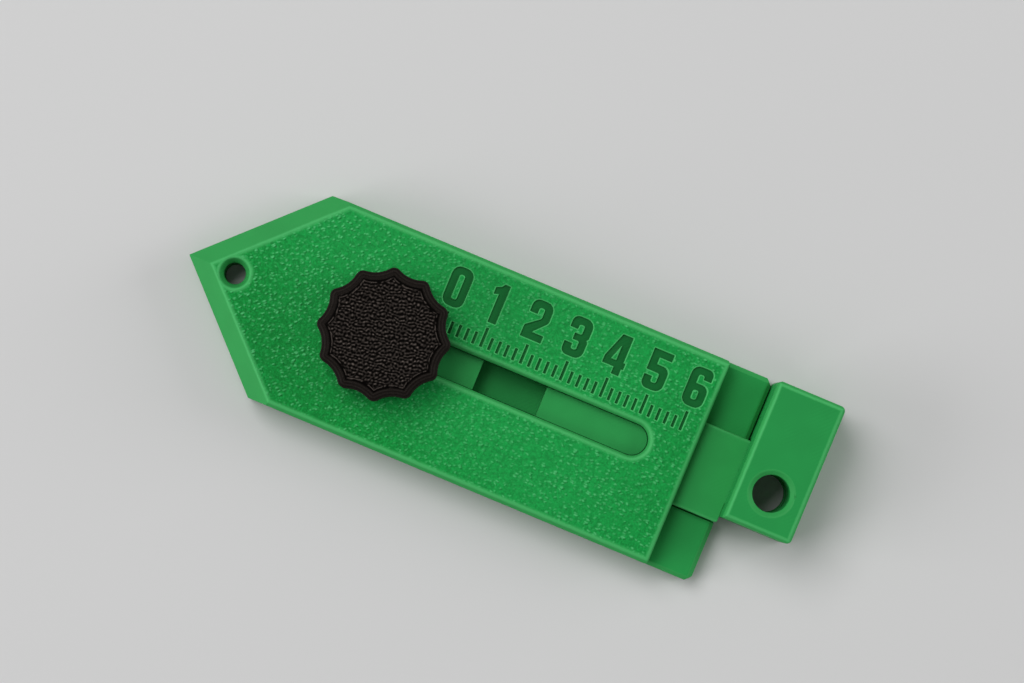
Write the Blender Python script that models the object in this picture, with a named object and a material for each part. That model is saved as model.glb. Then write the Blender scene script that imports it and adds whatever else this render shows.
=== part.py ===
"""Offset marking gauge: a pointed two-part body, a sliding bar with an offset head, and a clamp knob.

Units are metres, +Z is up and +X runs from the pointed end to the head. The gauge is modelled closed,
lying on its flat underside, with the origin under the middle of its bounding box.
"""

import math

import bmesh
import bpy
from mathutils import Vector

MM = 0.001

# Body: a base and a cover with the same pointed outline, the base longer by a ledge
BODY_WIDTH = 50.8 * MM
POINT_HALF_ANGLE = math.radians(45)
COVER_LENGTH = 125.5 * MM
LEDGE_LENGTH = 11.0 * MM
BASE_THICKNESS = 6.0 * MM
COVER_THICKNESS = 5.7 * MM
CHANNEL_FLOOR = 2.4 * MM
POINT_CHAMFER = 4.3 * MM
LONG_EDGE_CHAMFER = 1.1 * MM
COVER_END_CHAMFER = 0.6 * MM
COVER_CORNER_CHAMFER = 0.6 * MM
LEDGE_EDGE_CHAMFER = 1.0 * MM
LEDGE_CORNER_CHAMFER = 1.4 * MM
UNDERSIDE_CHAMFER = 0.4 * MM

# Clearances
SEAT_GAP = 0.3 * MM
SLIDE_GAP = 0.3 * MM
BOLT_GAP = 0.3 * MM
OVERRUN = 1.0 * MM

# Apex hole: a small hole with a cone and an eased rim, on the centreline near the point
APEX_HOLE_SETBACK = 11.6 * MM
APEX_HOLE_RADIUS = 2.5 * MM
APEX_CONE_WIDTH = 1.0 * MM
APEX_CONE_DEPTH = 2.2 * MM
APEX_RIM_WIDTH = 0.3 * MM
APEX_RIM_DEPTH = 0.25 * MM

# Slider bar: runs in a channel shared by base and cover
SLIDER_WIDTH = 20.6 * MM
SLIDER_THICKNESS = 6.0 * MM
SLIDER_TAIL = 12.0 * MM
SLIDER_EDGE_CHAMFER = 0.3 * MM
CHANNEL_END_GAP = 0.6 * MM
BOLT_SETBACK = 49.1 * MM
WINDOW_START = 23.5 * MM
WINDOW_LENGTH = 15.9 * MM
WINDOW_WIDTH = 12.0 * MM

# Slot in the cover, over the channel, with a guide boss of the slider in it
SLOT_WIDTH = 7.6 * MM
SLOT_END_WALL = 10.6 * MM
SLOT_RIM_CHAMFER = 0.8 * MM
BOSS_GAP = 0.3 * MM
BOSS_SETBACK = 0.4 * MM

# Head block: carried by a tenon of the slider bar, flush with one long side of the body
HEAD_THICKNESS = 16.8 * MM
HEAD_HEIGHT = 20.0 * MM
HEAD_CLOSED_GAP = 0.3 * MM
HEAD_EDGE_CHAMFER = 0.9 * MM
HEAD_OUTER_CORNER_RADIUS = 1.3 * MM
HEAD_INNER_CORNER_CHAMFER = 0.8 * MM
PENCIL_HOLE_RADIUS = 4.35 * MM
PENCIL_HOLE_SETBACK = 8.3 * MM
PENCIL_HOLE_OFFSET = 0.6 * MM
PENCIL_RIM_WIDTH = 1.0 * MM
PENCIL_RIM_DEPTH = 0.8 * MM
HEAD_SHORT_WALL = 4.95 * MM
TENON_WALL = 1.3 * MM
TENON_END_WALL = 2.2 * MM
TENON_SHOULDER_CHAMFER = 0.4 * MM

# Clamp bolt, nut and washer
BOLT_RADIUS = 2.5 * MM
BOLT_HEAD_FLATS = 8.0 * MM
BOLT_HEAD_HEIGHT = 3.4 * MM
BOLT_HEAD_SINK = 0.2 * MM
BOLT_TIP_CHAMFER = 0.5 * MM
NUT_HEIGHT = 4.0 * MM
NUT_CHAMFER = 0.4 * MM
WASHER_RADIUS = 10.0 * MM
WASHER_THICKNESS = 1.2 * MM
WASHER_STANDOUT = 0.6 * MM

# Knob with scalloped lobes
KNOB_TIP_RADIUS = 15.45 * MM
KNOB_TIP_ROUND = 1.8 * MM
KNOB_SCALLOP_DEPTH = 1.2 * MM
KNOB_HEIGHT = 11.0 * MM
KNOB_EDGE_WIDTH = 1.5 * MM
KNOB_EDGE_DROP = 0.8 * MM
KNOB_FOOT_CHAMFER = 0.4 * MM
KNOB_CAP = 2.4 * MM
KNOB_LOBES = 12
KNOB_TURN = math.radians(12.7)

# Countersunk screws from below, and the brass inserts that they thread into
SCREW_RADIUS = 1.5 * MM
SCREW_HEAD_RADIUS = 2.8 * MM
SCREW_HEAD_HEIGHT = 1.7 * MM
SCREW_HEAD_SINK = 0.2 * MM
SCREW_TIP_CHAMFER = 0.3 * MM
SCREW_SOCKET_FLATS = 2.0 * MM
SCREW_SOCKET_DEPTH = 1.1 * MM
INSERT_RADIUS = 2.4 * MM
INSERT_LENGTH = 4.0 * MM
INSERT_GROOVE_DEPTH = 0.25 * MM
INSERT_GROOVE_WIDTH = 1.0 * MM
COVER_SCREW_INSET = 9.0 * MM
HEAD_SCREW_INSET = 3.2 * MM

# Plain scale cut in the cover beside the slot
SCALE_LENGTH = 60.0 * MM
SCALE_STEP = 2.0 * MM
SCALE_END_SETBACK = 5.0 * MM
SCALE_SLOT_MARGIN = 1.6 * MM
TICK_WIDTH = 0.6 * MM
TICK_DEPTH = 0.6 * MM
SHORT_TICK_LENGTH = 2.8 * MM
LONG_TICK_LENGTH = 4.6 * MM
TICKS_PER_LONG_TICK = 5

# Facets
ROUND_SEGMENTS = 48
SMALL_SEGMENTS = 24
SCALLOP_SEGMENTS = 6
TIP_SEGMENTS = 6
CORNER_CUTS = 3
SHARP_ANGLE = math.radians(30)

# Heights, from the underside up
HALF_WIDTH = BODY_WIDTH / 2
COVER_BOTTOM = BASE_THICKNESS + SEAT_GAP
BODY_TOP = COVER_BOTTOM + COVER_THICKNESS
SLIDER_BOTTOM = CHANNEL_FLOOR + SLIDE_GAP
SLIDER_TOP = SLIDER_BOTTOM + SLIDER_THICKNESS
CHANNEL_TOP = SLIDER_TOP + SLIDE_GAP
BOSS_TOP = BODY_TOP - BOSS_SETBACK

# Lengths along the gauge, from the point
POINT_LENGTH = HALF_WIDTH / math.tan(POINT_HALF_ANGLE)
BASE_LENGTH = COVER_LENGTH + LEDGE_LENGTH
HEAD_START = BASE_LENGTH + HEAD_CLOSED_GAP
OVERALL_LENGTH = HEAD_START + HEAD_THICKNESS
CHANNEL_START = BOLT_SETBACK - SLIDER_TAIL - CHANNEL_END_GAP

# Widths
SLIDER_HALF_WIDTH = SLIDER_WIDTH / 2
CHANNEL_HALF_WIDTH = SLIDER_HALF_WIDTH + SLIDE_GAP
SLOT_RADIUS = SLOT_WIDTH / 2
SLOT_END = COVER_LENGTH - SLOT_END_WALL - SLOT_RADIUS
BOSS_RADIUS = SLOT_RADIUS - BOSS_GAP
BOLT_HOLE_RADIUS = BOLT_RADIUS + BOLT_GAP
HEAD_SHORT_REACH = PENCIL_HOLE_RADIUS + HEAD_SHORT_WALL - PENCIL_HOLE_OFFSET
TENON_HOLE_RADIUS = PENCIL_HOLE_RADIUS + SEAT_GAP
TENON_SHORT_REACH = TENON_HOLE_RADIUS + TENON_WALL - PENCIL_HOLE_OFFSET
SCREW_HOLE_RADIUS = SCREW_RADIUS + SEAT_GAP
INSERT_POCKET_RADIUS = INSERT_RADIUS + SEAT_GAP


def make_material(name, colour, roughness, metallic=0.0):
    """A plain Principled material."""
    material = bpy.data.materials.new(name)
    material.use_nodes = True
    shader = material.node_tree.nodes["Principled BSDF"]
    shader.inputs["Base Color"].default_value = (*colour, 1.0)
    shader.inputs["Roughness"].default_value = roughness
    shader.inputs["Metallic"].default_value = metallic
    return material


def make_empty(name, location, parent=None):
    """An empty that carries the pieces which move together."""
    empty = bpy.data.objects.new(name, None)
    empty.location = location
    empty.parent = parent
    bpy.context.collection.objects.link(empty)
    return empty


def round_ring(radius, height, segments=SMALL_SEGMENTS, centre=(0, 0)):
    """Points of a circle at a height."""
    points = []
    for step in range(segments):
        turn = 2 * math.pi * step / segments
        points.append((centre[0] + radius * math.cos(turn), centre[1] + radius * math.sin(turn), height))
    return points


def hex_ring(flats, height, segments=SMALL_SEGMENTS, centre=(0, 0)):
    """Points along a hexagon of the given width across flats."""
    points = []
    for step in range(segments):
        turn = 2 * math.pi * step / segments
        from_flat = (turn + math.pi / 6) % (math.pi / 3) - math.pi / 6
        radius = flats / 2 / math.cos(from_flat)
        points.append((centre[0] + radius * math.cos(turn), centre[1] + radius * math.sin(turn), height))
    return points


def lobed_ring(inset, height):
    """Points along the knob's outline, set in by a distance: round tips with a hollow scallop between."""
    half_sector = math.pi / KNOB_LOBES
    tip_reach = KNOB_TIP_RADIUS - KNOB_TIP_ROUND
    tip_x = tip_reach * math.cos(half_sector)
    tip_y = tip_reach * math.sin(half_sector)
    hollow_floor = KNOB_TIP_RADIUS - KNOB_SCALLOP_DEPTH
    rise = hollow_floor - tip_x
    scallop_radius = (rise ** 2 + tip_y ** 2 - KNOB_TIP_ROUND ** 2) / (KNOB_TIP_ROUND - rise) / 2
    scallop_x = hollow_floor + scallop_radius
    contact = math.atan2(tip_y, scallop_x - tip_x)

    lobe = []
    for step in range(SCALLOP_SEGMENTS):
        turn = contact * (2 * step / SCALLOP_SEGMENTS - 1)
        reach = scallop_radius + inset
        lobe.append((scallop_x - reach * math.cos(turn), reach * math.sin(turn)))
    for step in range(TIP_SEGMENTS):
        turn = 2 * (half_sector + contact) * step / TIP_SEGMENTS - contact
        reach = KNOB_TIP_ROUND - inset
        lobe.append((tip_x + reach * math.cos(turn), tip_y + reach * math.sin(turn)))

    points = []
    for number in range(KNOB_LOBES):
        turn = KNOB_TURN + (2 * number - 1) * half_sector
        cosine, sine = math.cos(turn), math.sin(turn)
        points += [(x * cosine - y * sine, x * sine + y * cosine, height) for x, y in lobe]
    return points


def slot_ring(radius, start, end, height, segments=ROUND_SEGMENTS):
    """Points of a slot outline with round ends, along X."""
    points = []
    for step in range(segments // 2 + 1):
        turn = 2 * math.pi * step / segments - math.pi / 2
        points.append((end + radius * math.cos(turn), radius * math.sin(turn), height))
    for step in range(segments // 2 + 1):
        turn = 2 * math.pi * step / segments + math.pi / 2
        points.append((start + radius * math.cos(turn), radius * math.sin(turn), height))
    return points


def flat_rings(outline, bottom, top):
    """The two rings of an upright prism over a flat outline."""
    return [[(x, y, height) for x, y in outline] for height in (bottom, top)]


def box_outline(low_x, high_x, low_y, high_y):
    """The corners of a rectangle."""
    return [(low_x, low_y), (high_x, low_y), (high_x, high_y), (low_x, high_y)]


def add_loft(bm, rings, tube=False):
    """Adds a closed solid that skins rings of equal point counts. A tube joins its two end rings."""
    rows = [[bm.verts.new(point) for point in ring] for ring in rings]
    pairs = list(zip(rows, rows[1:]))
    if tube:
        pairs.append((rows[-1], rows[0]))
    for lower, upper in pairs:
        for index, corner in enumerate(lower):
            following = (index + 1) % len(lower)
            bm.faces.new((corner, lower[following], upper[following], upper[index]))
    if not tube:
        bm.faces.new(rows[0])
        bm.faces.new(rows[-1])


def trim(bm, point, normal):
    """Cuts away what lies beyond a plane and closes the cut."""
    everything = bm.verts[:] + bm.edges[:] + bm.faces[:]
    cut = bmesh.ops.bisect_plane(bm, geom=everything, plane_co=point, plane_no=normal, clear_outer=True)
    rim = [item for item in cut["geom_cut"] if isinstance(item, bmesh.types.BMEdge)]
    if rim:
        bmesh.ops.edgeloop_fill(bm, edges=rim)


def make_object(name, bm, material, parent, location=(0, 0, 0), smooth=True):
    """Turns a bmesh into a named object under its parent."""
    bmesh.ops.recalc_face_normals(bm, faces=bm.faces[:])
    mesh = bpy.data.meshes.new(name)
    bm.to_mesh(mesh)
    bm.free()
    if material:
        mesh.materials.append(material)
    piece = bpy.data.objects.new(name, mesh)
    piece.location = location
    piece.parent = parent
    bpy.context.collection.objects.link(piece)
    if smooth:
        mesh.shade_smooth()
        mesh.set_sharp_from_angle(angle=SHARP_ANGLE)
    return piece


def make_solid(name, lofts, material, parent, location=(0, 0, 0), tube=False):
    """One object from one or more lofted solids."""
    bm = bmesh.new()
    for rings in lofts:
        add_loft(bm, rings, tube)
    return make_object(name, bm, material, parent, location)


def apply_cutter(piece, name, lofts, operation="DIFFERENCE"):
    """Adds a hidden wire helper in the piece's own frame, and a Boolean that uses it."""
    cutter = make_solid(f"cut_{piece.name}_{name}", lofts, None, piece.parent, piece.location)
    cutter.hide_render = True
    cutter.display_type = "WIRE"
    boolean = piece.modifiers.new(name, "BOOLEAN")
    boolean.operation = operation
    boolean.object = cutter


def chamfer_edges(bm, outline, height, widths, upward=True):
    """Chamfers the upper or lower edges of a convex prism, one width for each side of its outline."""
    side = 1 if upward else -1
    for index, width in enumerate(widths):
        if not width:
            continue
        start = Vector(outline[index])
        along = Vector(outline[(index + 1) % len(outline)]) - start
        outward = Vector((along.y, -along.x)).normalized()
        trim(bm, (start.x, start.y, height - side * width), (outward.x, outward.y, side))


def cut_corner(bm, corner, direction, depth):
    """Cuts an upright corner of a prism square to a direction, at a depth behind the corner."""
    direction = Vector(direction).normalized()
    point = Vector(corner) - direction * depth
    trim(bm, (point.x, point.y, 0), (direction.x, direction.y, 0))


def round_corner(bm, corner, side_x, side_y, radius):
    """Rounds an upright square corner with cuts that touch an arc."""
    centre = Vector((corner[0] - side_x * radius, corner[1] - side_y * radius))
    for cut in range(CORNER_CUTS):
        turn = math.pi / 2 * (cut + 1) / (CORNER_CUTS + 1)
        direction = Vector((side_x * math.cos(turn), side_y * math.sin(turn)))
        point = centre + direction * radius
        trim(bm, (point.x, point.y, 0), (direction.x, direction.y, 0))


def body_outline(length):
    """The pointed outline, counter-clockwise from the point."""
    return [
        (0, 0),
        (POINT_LENGTH, -HALF_WIDTH),
        (length, -HALF_WIDTH),
        (length, HALF_WIDTH),
        (POINT_LENGTH, HALF_WIDTH),
    ]


def cover_screw_places():
    """Screw places in the body: one behind the apex hole, and a pair beside each end of the channel."""
    apex_hole_edge = APEX_HOLE_SETBACK + APEX_HOLE_RADIUS + APEX_CONE_WIDTH + APEX_RIM_WIDTH
    row_offset = (CHANNEL_HALF_WIDTH + HALF_WIDTH) / 2
    places = [((apex_hole_edge + CHANNEL_START) / 2, 0)]
    for along in (POINT_LENGTH + COVER_SCREW_INSET, COVER_LENGTH - COVER_SCREW_INSET):
        places += [(along, -row_offset), (along, row_offset)]
    return places


def head_screw_places():
    """Screw places in the head, from the bolt axis, beside the pencil hole in the tenon's wide side."""
    across = (PENCIL_HOLE_OFFSET + TENON_HOLE_RADIUS + SLIDER_HALF_WIDTH) / 2
    head = HEAD_START - BOLT_SETBACK
    tenon_end = head + HEAD_THICKNESS - TENON_END_WALL - SEAT_GAP
    return [(head + HEAD_SCREW_INSET, across), (tenon_end - HEAD_SCREW_INSET, across)]


def screw_rings(tip):
    """A countersunk screw with a hexagon socket, head down at the underside."""
    head = SCREW_HEAD_SINK
    return [
        hex_ring(SCREW_SOCKET_FLATS, head + SCREW_SOCKET_DEPTH),
        hex_ring(SCREW_SOCKET_FLATS, head),
        round_ring(SCREW_HEAD_RADIUS, head),
        round_ring(SCREW_RADIUS, head + SCREW_HEAD_HEIGHT),
        round_ring(SCREW_RADIUS, tip - SCREW_TIP_CHAMFER),
        round_ring(SCREW_RADIUS - SCREW_TIP_CHAMFER, tip),
    ]


def screw_hole_rings(place, top):
    """A countersunk clearance hole from the underside up."""
    mouth = SCREW_HEAD_RADIUS + SEAT_GAP
    slope = (SCREW_HEAD_RADIUS - SCREW_RADIUS) / SCREW_HEAD_HEIGHT
    return [
        round_ring(mouth, -OVERRUN, centre=place),
        round_ring(mouth, SCREW_HEAD_SINK, centre=place),
        round_ring(SCREW_HOLE_RADIUS, SCREW_HEAD_SINK + (mouth - SCREW_HOLE_RADIUS) / slope, centre=place),
        round_ring(SCREW_HOLE_RADIUS, top, centre=place),
    ]


def insert_rings(bottom):
    """A threaded brass insert with a groove round its middle."""
    top = bottom + INSERT_LENGTH
    middle = (bottom + top) / 2
    groove_low = middle - INSERT_GROOVE_WIDTH / 2
    groove_high = middle + INSERT_GROOVE_WIDTH / 2
    groove_radius = INSERT_RADIUS - INSERT_GROOVE_DEPTH
    return [
        round_ring(SCREW_HOLE_RADIUS, bottom),
        round_ring(INSERT_RADIUS, bottom),
        round_ring(INSERT_RADIUS, groove_low),
        round_ring(groove_radius, groove_low),
        round_ring(groove_radius, groove_high),
        round_ring(INSERT_RADIUS, groove_high),
        round_ring(INSERT_RADIUS, top),
        round_ring(SCREW_HOLE_RADIUS, top),
    ]


def insert_pocket_rings(place, bottom, top):
    """The pocket of an insert."""
    return [round_ring(INSERT_POCKET_RADIUS, height, centre=place) for height in (bottom, top)]


def make_base(material, parent):
    """The lower half of the body, with the channel's floor and the ledge."""
    outline = body_outline(BASE_LENGTH)
    bm = bmesh.new()
    add_loft(bm, flat_rings(outline, 0, BASE_THICKNESS))
    ledge = LEDGE_EDGE_CHAMFER
    chamfer_edges(bm, outline, BASE_THICKNESS, (0, ledge, ledge, ledge, 0))
    chamfer_edges(bm, outline, 0, [UNDERSIDE_CHAMFER] * len(outline), upward=False)
    for side in (-1, 1):
        corner = (BASE_LENGTH, side * HALF_WIDTH)
        cut_corner(bm, corner, (1, side), LEDGE_CORNER_CHAMFER * math.cos(math.pi / 4))
    base = make_object("base_plate", bm, material, parent)

    channel = box_outline(CHANNEL_START, BASE_LENGTH + OVERRUN, -CHANNEL_HALF_WIDTH, CHANNEL_HALF_WIDTH)
    apply_cutter(base, "channel", [flat_rings(channel, CHANNEL_FLOOR, BASE_THICKNESS + OVERRUN)])
    apex_hole = [
        round_ring(APEX_HOLE_RADIUS, height, ROUND_SEGMENTS, (APEX_HOLE_SETBACK, 0))
        for height in (-OVERRUN, BASE_THICKNESS + OVERRUN)
    ]
    apply_cutter(base, "apex_hole", [apex_hole])
    screw_holes = [screw_hole_rings(place, BASE_THICKNESS + OVERRUN) for place in cover_screw_places()]
    apply_cutter(base, "screw_holes", screw_holes)
    return base


def apex_hole_rings():
    """The apex hole in the cover: straight, then a cone, then an eased rim that runs out above the top."""
    centre = (APEX_HOLE_SETBACK, 0)
    cone_top_radius = APEX_HOLE_RADIUS + APEX_CONE_WIDTH
    cone_top = BODY_TOP - APEX_RIM_DEPTH
    mouth_radius = cone_top_radius + APEX_RIM_WIDTH * (1 + OVERRUN / APEX_RIM_DEPTH)
    return [
        round_ring(APEX_HOLE_RADIUS, COVER_BOTTOM - OVERRUN, ROUND_SEGMENTS, centre),
        round_ring(APEX_HOLE_RADIUS, cone_top - APEX_CONE_DEPTH, ROUND_SEGMENTS, centre),
        round_ring(cone_top_radius, cone_top, ROUND_SEGMENTS, centre),
        round_ring(mouth_radius, BODY_TOP + OVERRUN, ROUND_SEGMENTS, centre),
    ]


def slot_rings():
    """The slot in the cover, with a chamfered rim that runs out above the top."""
    ends = (BOLT_SETBACK, SLOT_END)
    return [
        slot_ring(SLOT_RADIUS, *ends, CHANNEL_TOP - OVERRUN),
        slot_ring(SLOT_RADIUS, *ends, BODY_TOP - SLOT_RIM_CHAMFER),
        slot_ring(SLOT_RADIUS + SLOT_RIM_CHAMFER + OVERRUN, *ends, BODY_TOP + OVERRUN),
    ]


def tick_rings():
    """Scale marks beside the slot, a long one at every tenth of the way and short ones between."""
    start = COVER_LENGTH - SCALE_END_SETBACK - SCALE_LENGTH
    foot = SLOT_RADIUS + SLOT_RIM_CHAMFER + SCALE_SLOT_MARGIN
    ticks = []
    for index in range(round(SCALE_LENGTH / SCALE_STEP) + 1):
        along = start + index * SCALE_STEP
        length = SHORT_TICK_LENGTH if index % TICKS_PER_LONG_TICK else LONG_TICK_LENGTH
        mark = box_outline(along - TICK_WIDTH / 2, along + TICK_WIDTH / 2, foot, foot + length)
        ticks.append(flat_rings(mark, BODY_TOP - TICK_DEPTH, BODY_TOP + OVERRUN))
    return ticks


def make_cover(material, parent):
    """The upper half of the body, with the slot, the channel's roof and the scale."""
    outline = body_outline(COVER_LENGTH)
    bm = bmesh.new()
    add_loft(bm, flat_rings(outline, COVER_BOTTOM, BODY_TOP))
    widths = (POINT_CHAMFER, LONG_EDGE_CHAMFER, COVER_END_CHAMFER, LONG_EDGE_CHAMFER, POINT_CHAMFER)
    chamfer_edges(bm, outline, BODY_TOP, widths)
    for side in (-1, 1):
        corner = (COVER_LENGTH, side * HALF_WIDTH)
        cut_corner(bm, corner, (1, side), COVER_CORNER_CHAMFER * math.cos(math.pi / 4))
    cover = make_object("cover_plate", bm, material, parent)

    channel = box_outline(CHANNEL_START, COVER_LENGTH + OVERRUN, -CHANNEL_HALF_WIDTH, CHANNEL_HALF_WIDTH)
    apply_cutter(cover, "channel", [flat_rings(channel, COVER_BOTTOM - OVERRUN, CHANNEL_TOP)])
    apply_cutter(cover, "slot", [slot_rings()])
    apply_cutter(cover, "apex_hole", [apex_hole_rings()])
    levels = (COVER_BOTTOM - OVERRUN, COVER_BOTTOM + INSERT_LENGTH + SEAT_GAP)
    pockets = [insert_pocket_rings(place, *levels) for place in cover_screw_places()]
    apply_cutter(cover, "insert_pockets", pockets)
    apply_cutter(cover, "ticks", tick_rings())
    return cover


def make_slider(material, parent):
    """The bar, measured from the bolt axis: boss and bolt hole, window, and the tenon for the head."""
    shoulder = HEAD_START - BOLT_SETBACK - SEAT_GAP
    tenon_end = HEAD_START - BOLT_SETBACK + HEAD_THICKNESS - TENON_END_WALL - SEAT_GAP
    outline = box_outline(-SLIDER_TAIL, tenon_end, -SLIDER_HALF_WIDTH, SLIDER_HALF_WIDTH)
    bm = bmesh.new()
    add_loft(bm, flat_rings(outline, SLIDER_BOTTOM, SLIDER_TOP))
    chamfer_edges(bm, outline, SLIDER_TOP, [SLIDER_EDGE_CHAMFER] * len(outline))
    slider = make_object("slider_bar", bm, material, parent)

    boss = [round_ring(BOSS_RADIUS, height, ROUND_SEGMENTS) for height in (SLIDER_TOP - OVERRUN, BOSS_TOP)]
    apply_cutter(slider, "boss", [boss], "UNION")
    pocket_roof = SLIDER_BOTTOM + BOLT_HEAD_SINK + BOLT_HEAD_HEIGHT + SEAT_GAP
    bolt_hole = [
        hex_ring(BOLT_HEAD_FLATS + 2 * BOLT_GAP, SLIDER_BOTTOM - OVERRUN),
        hex_ring(BOLT_HEAD_FLATS + 2 * BOLT_GAP, pocket_roof),
        round_ring(BOLT_HOLE_RADIUS, pocket_roof),
        round_ring(BOLT_HOLE_RADIUS, BOSS_TOP + OVERRUN),
    ]
    apply_cutter(slider, "bolt_hole", [bolt_hole])
    window = box_outline(WINDOW_START, WINDOW_START + WINDOW_LENGTH, -WINDOW_WIDTH / 2, WINDOW_WIDTH / 2)
    apply_cutter(slider, "window", [flat_rings(window, SLIDER_BOTTOM - OVERRUN, SLIDER_TOP + OVERRUN)])
    side = SLIDER_HALF_WIDTH
    notch = [
        (shoulder, -TENON_SHORT_REACH),
        (shoulder, TENON_SHOULDER_CHAMFER - side),
        (shoulder - TENON_SHOULDER_CHAMFER - OVERRUN, -side - OVERRUN),
        (tenon_end + OVERRUN, -side - OVERRUN),
        (tenon_end + OVERRUN, -TENON_SHORT_REACH),
    ]
    apply_cutter(slider, "tenon_notch", [flat_rings(notch, SLIDER_BOTTOM - OVERRUN, SLIDER_TOP + OVERRUN)])
    pencil_centre = (HEAD_START - BOLT_SETBACK + PENCIL_HOLE_SETBACK, PENCIL_HOLE_OFFSET)
    holes = [
        [
            round_ring(radius, height, ROUND_SEGMENTS, centre)
            for height in (SLIDER_BOTTOM - OVERRUN, SLIDER_TOP + OVERRUN)
        ]
        for radius, centre in [(TENON_HOLE_RADIUS, pencil_centre)]
        + [(SCREW_HOLE_RADIUS, place) for place in head_screw_places()]
    ]
    apply_cutter(slider, "tenon_holes", holes)
    return slider


def make_head(material, parent):
    """The offset head block, measured from the bolt axis."""
    inner = HEAD_START - BOLT_SETBACK
    outer = inner + HEAD_THICKNESS
    outline = box_outline(inner, outer, -HEAD_SHORT_REACH, HALF_WIDTH)
    bm = bmesh.new()
    add_loft(bm, flat_rings(outline, 0, HEAD_HEIGHT))
    for y, side in ((-HEAD_SHORT_REACH, -1), (HALF_WIDTH, 1)):
        round_corner(bm, (outer, y), 1, side, HEAD_OUTER_CORNER_RADIUS)
    cut_corner(bm, (inner, HALF_WIDTH), (-1, 1), HEAD_INNER_CORNER_CHAMFER * math.cos(math.pi / 4))
    chamfer_edges(bm, outline, HEAD_HEIGHT, [HEAD_EDGE_CHAMFER] * len(outline))
    chamfer_edges(bm, outline, 0, [UNDERSIDE_CHAMFER] * len(outline), upward=False)
    head = make_object("head_block", bm, material, parent)

    mortise_end = outer - TENON_END_WALL
    mortise_sides = (-TENON_SHORT_REACH - SEAT_GAP, SLIDER_HALF_WIDTH + SEAT_GAP)
    mortise = box_outline(inner - OVERRUN, mortise_end, *mortise_sides)
    mortise_top = SLIDER_TOP + SEAT_GAP
    apply_cutter(head, "mortise", [flat_rings(mortise, SLIDER_BOTTOM - SEAT_GAP, mortise_top)])
    centre = (inner + PENCIL_HOLE_SETBACK, PENCIL_HOLE_OFFSET)
    mouth_radius = PENCIL_HOLE_RADIUS + PENCIL_RIM_WIDTH * (1 + OVERRUN / PENCIL_RIM_DEPTH)
    pencil_hole = [
        round_ring(PENCIL_HOLE_RADIUS, -OVERRUN, ROUND_SEGMENTS, centre),
        round_ring(PENCIL_HOLE_RADIUS, HEAD_HEIGHT - PENCIL_RIM_DEPTH, ROUND_SEGMENTS, centre),
        round_ring(mouth_radius, HEAD_HEIGHT + OVERRUN, ROUND_SEGMENTS, centre),
    ]
    apply_cutter(head, "pencil_hole", [pencil_hole])
    screw_holes = [screw_hole_rings(place, mortise_top) for place in head_screw_places()]
    apply_cutter(head, "screw_holes", screw_holes)
    levels = (SLIDER_TOP, mortise_top + INSERT_LENGTH + 2 * SEAT_GAP)
    pockets = [insert_pocket_rings(place, *levels) for place in head_screw_places()]
    apply_cutter(head, "insert_pockets", pockets)
    return head


def knob_levels():
    """Heights in the knob, above the washer's underside: foot, recess roof, nut top, bore roof and top."""
    foot = WASHER_STANDOUT
    recess_roof = WASHER_THICKNESS + SEAT_GAP
    nut_top = recess_roof + NUT_HEIGHT
    top = foot + KNOB_HEIGHT
    return foot, recess_roof, nut_top, top - KNOB_CAP, top


def make_knob(material, parent):
    """The scalloped knob, from the washer's underside up, hollowed from below for washer, nut and bolt."""
    foot, recess_roof, nut_top, bore_roof, top = knob_levels()
    shell = [
        lobed_ring(KNOB_FOOT_CHAMFER, foot),
        lobed_ring(0, foot + KNOB_FOOT_CHAMFER),
        lobed_ring(0, top - KNOB_EDGE_DROP),
        lobed_ring(KNOB_EDGE_WIDTH, top),
    ]
    knob = make_solid("knob", [shell], material, parent)
    nut_flats = BOLT_HEAD_FLATS + 2 * BOLT_GAP
    hollow = [
        round_ring(WASHER_RADIUS + SEAT_GAP, foot - OVERRUN, ROUND_SEGMENTS),
        round_ring(WASHER_RADIUS + SEAT_GAP, recess_roof, ROUND_SEGMENTS),
        hex_ring(nut_flats, recess_roof, ROUND_SEGMENTS),
        hex_ring(nut_flats, nut_top + SEAT_GAP, ROUND_SEGMENTS),
        round_ring(BOLT_HOLE_RADIUS, nut_top + SEAT_GAP, ROUND_SEGMENTS),
        round_ring(BOLT_HOLE_RADIUS, bore_roof, ROUND_SEGMENTS),
    ]
    apply_cutter(knob, "hollow", [hollow])
    return knob


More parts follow.
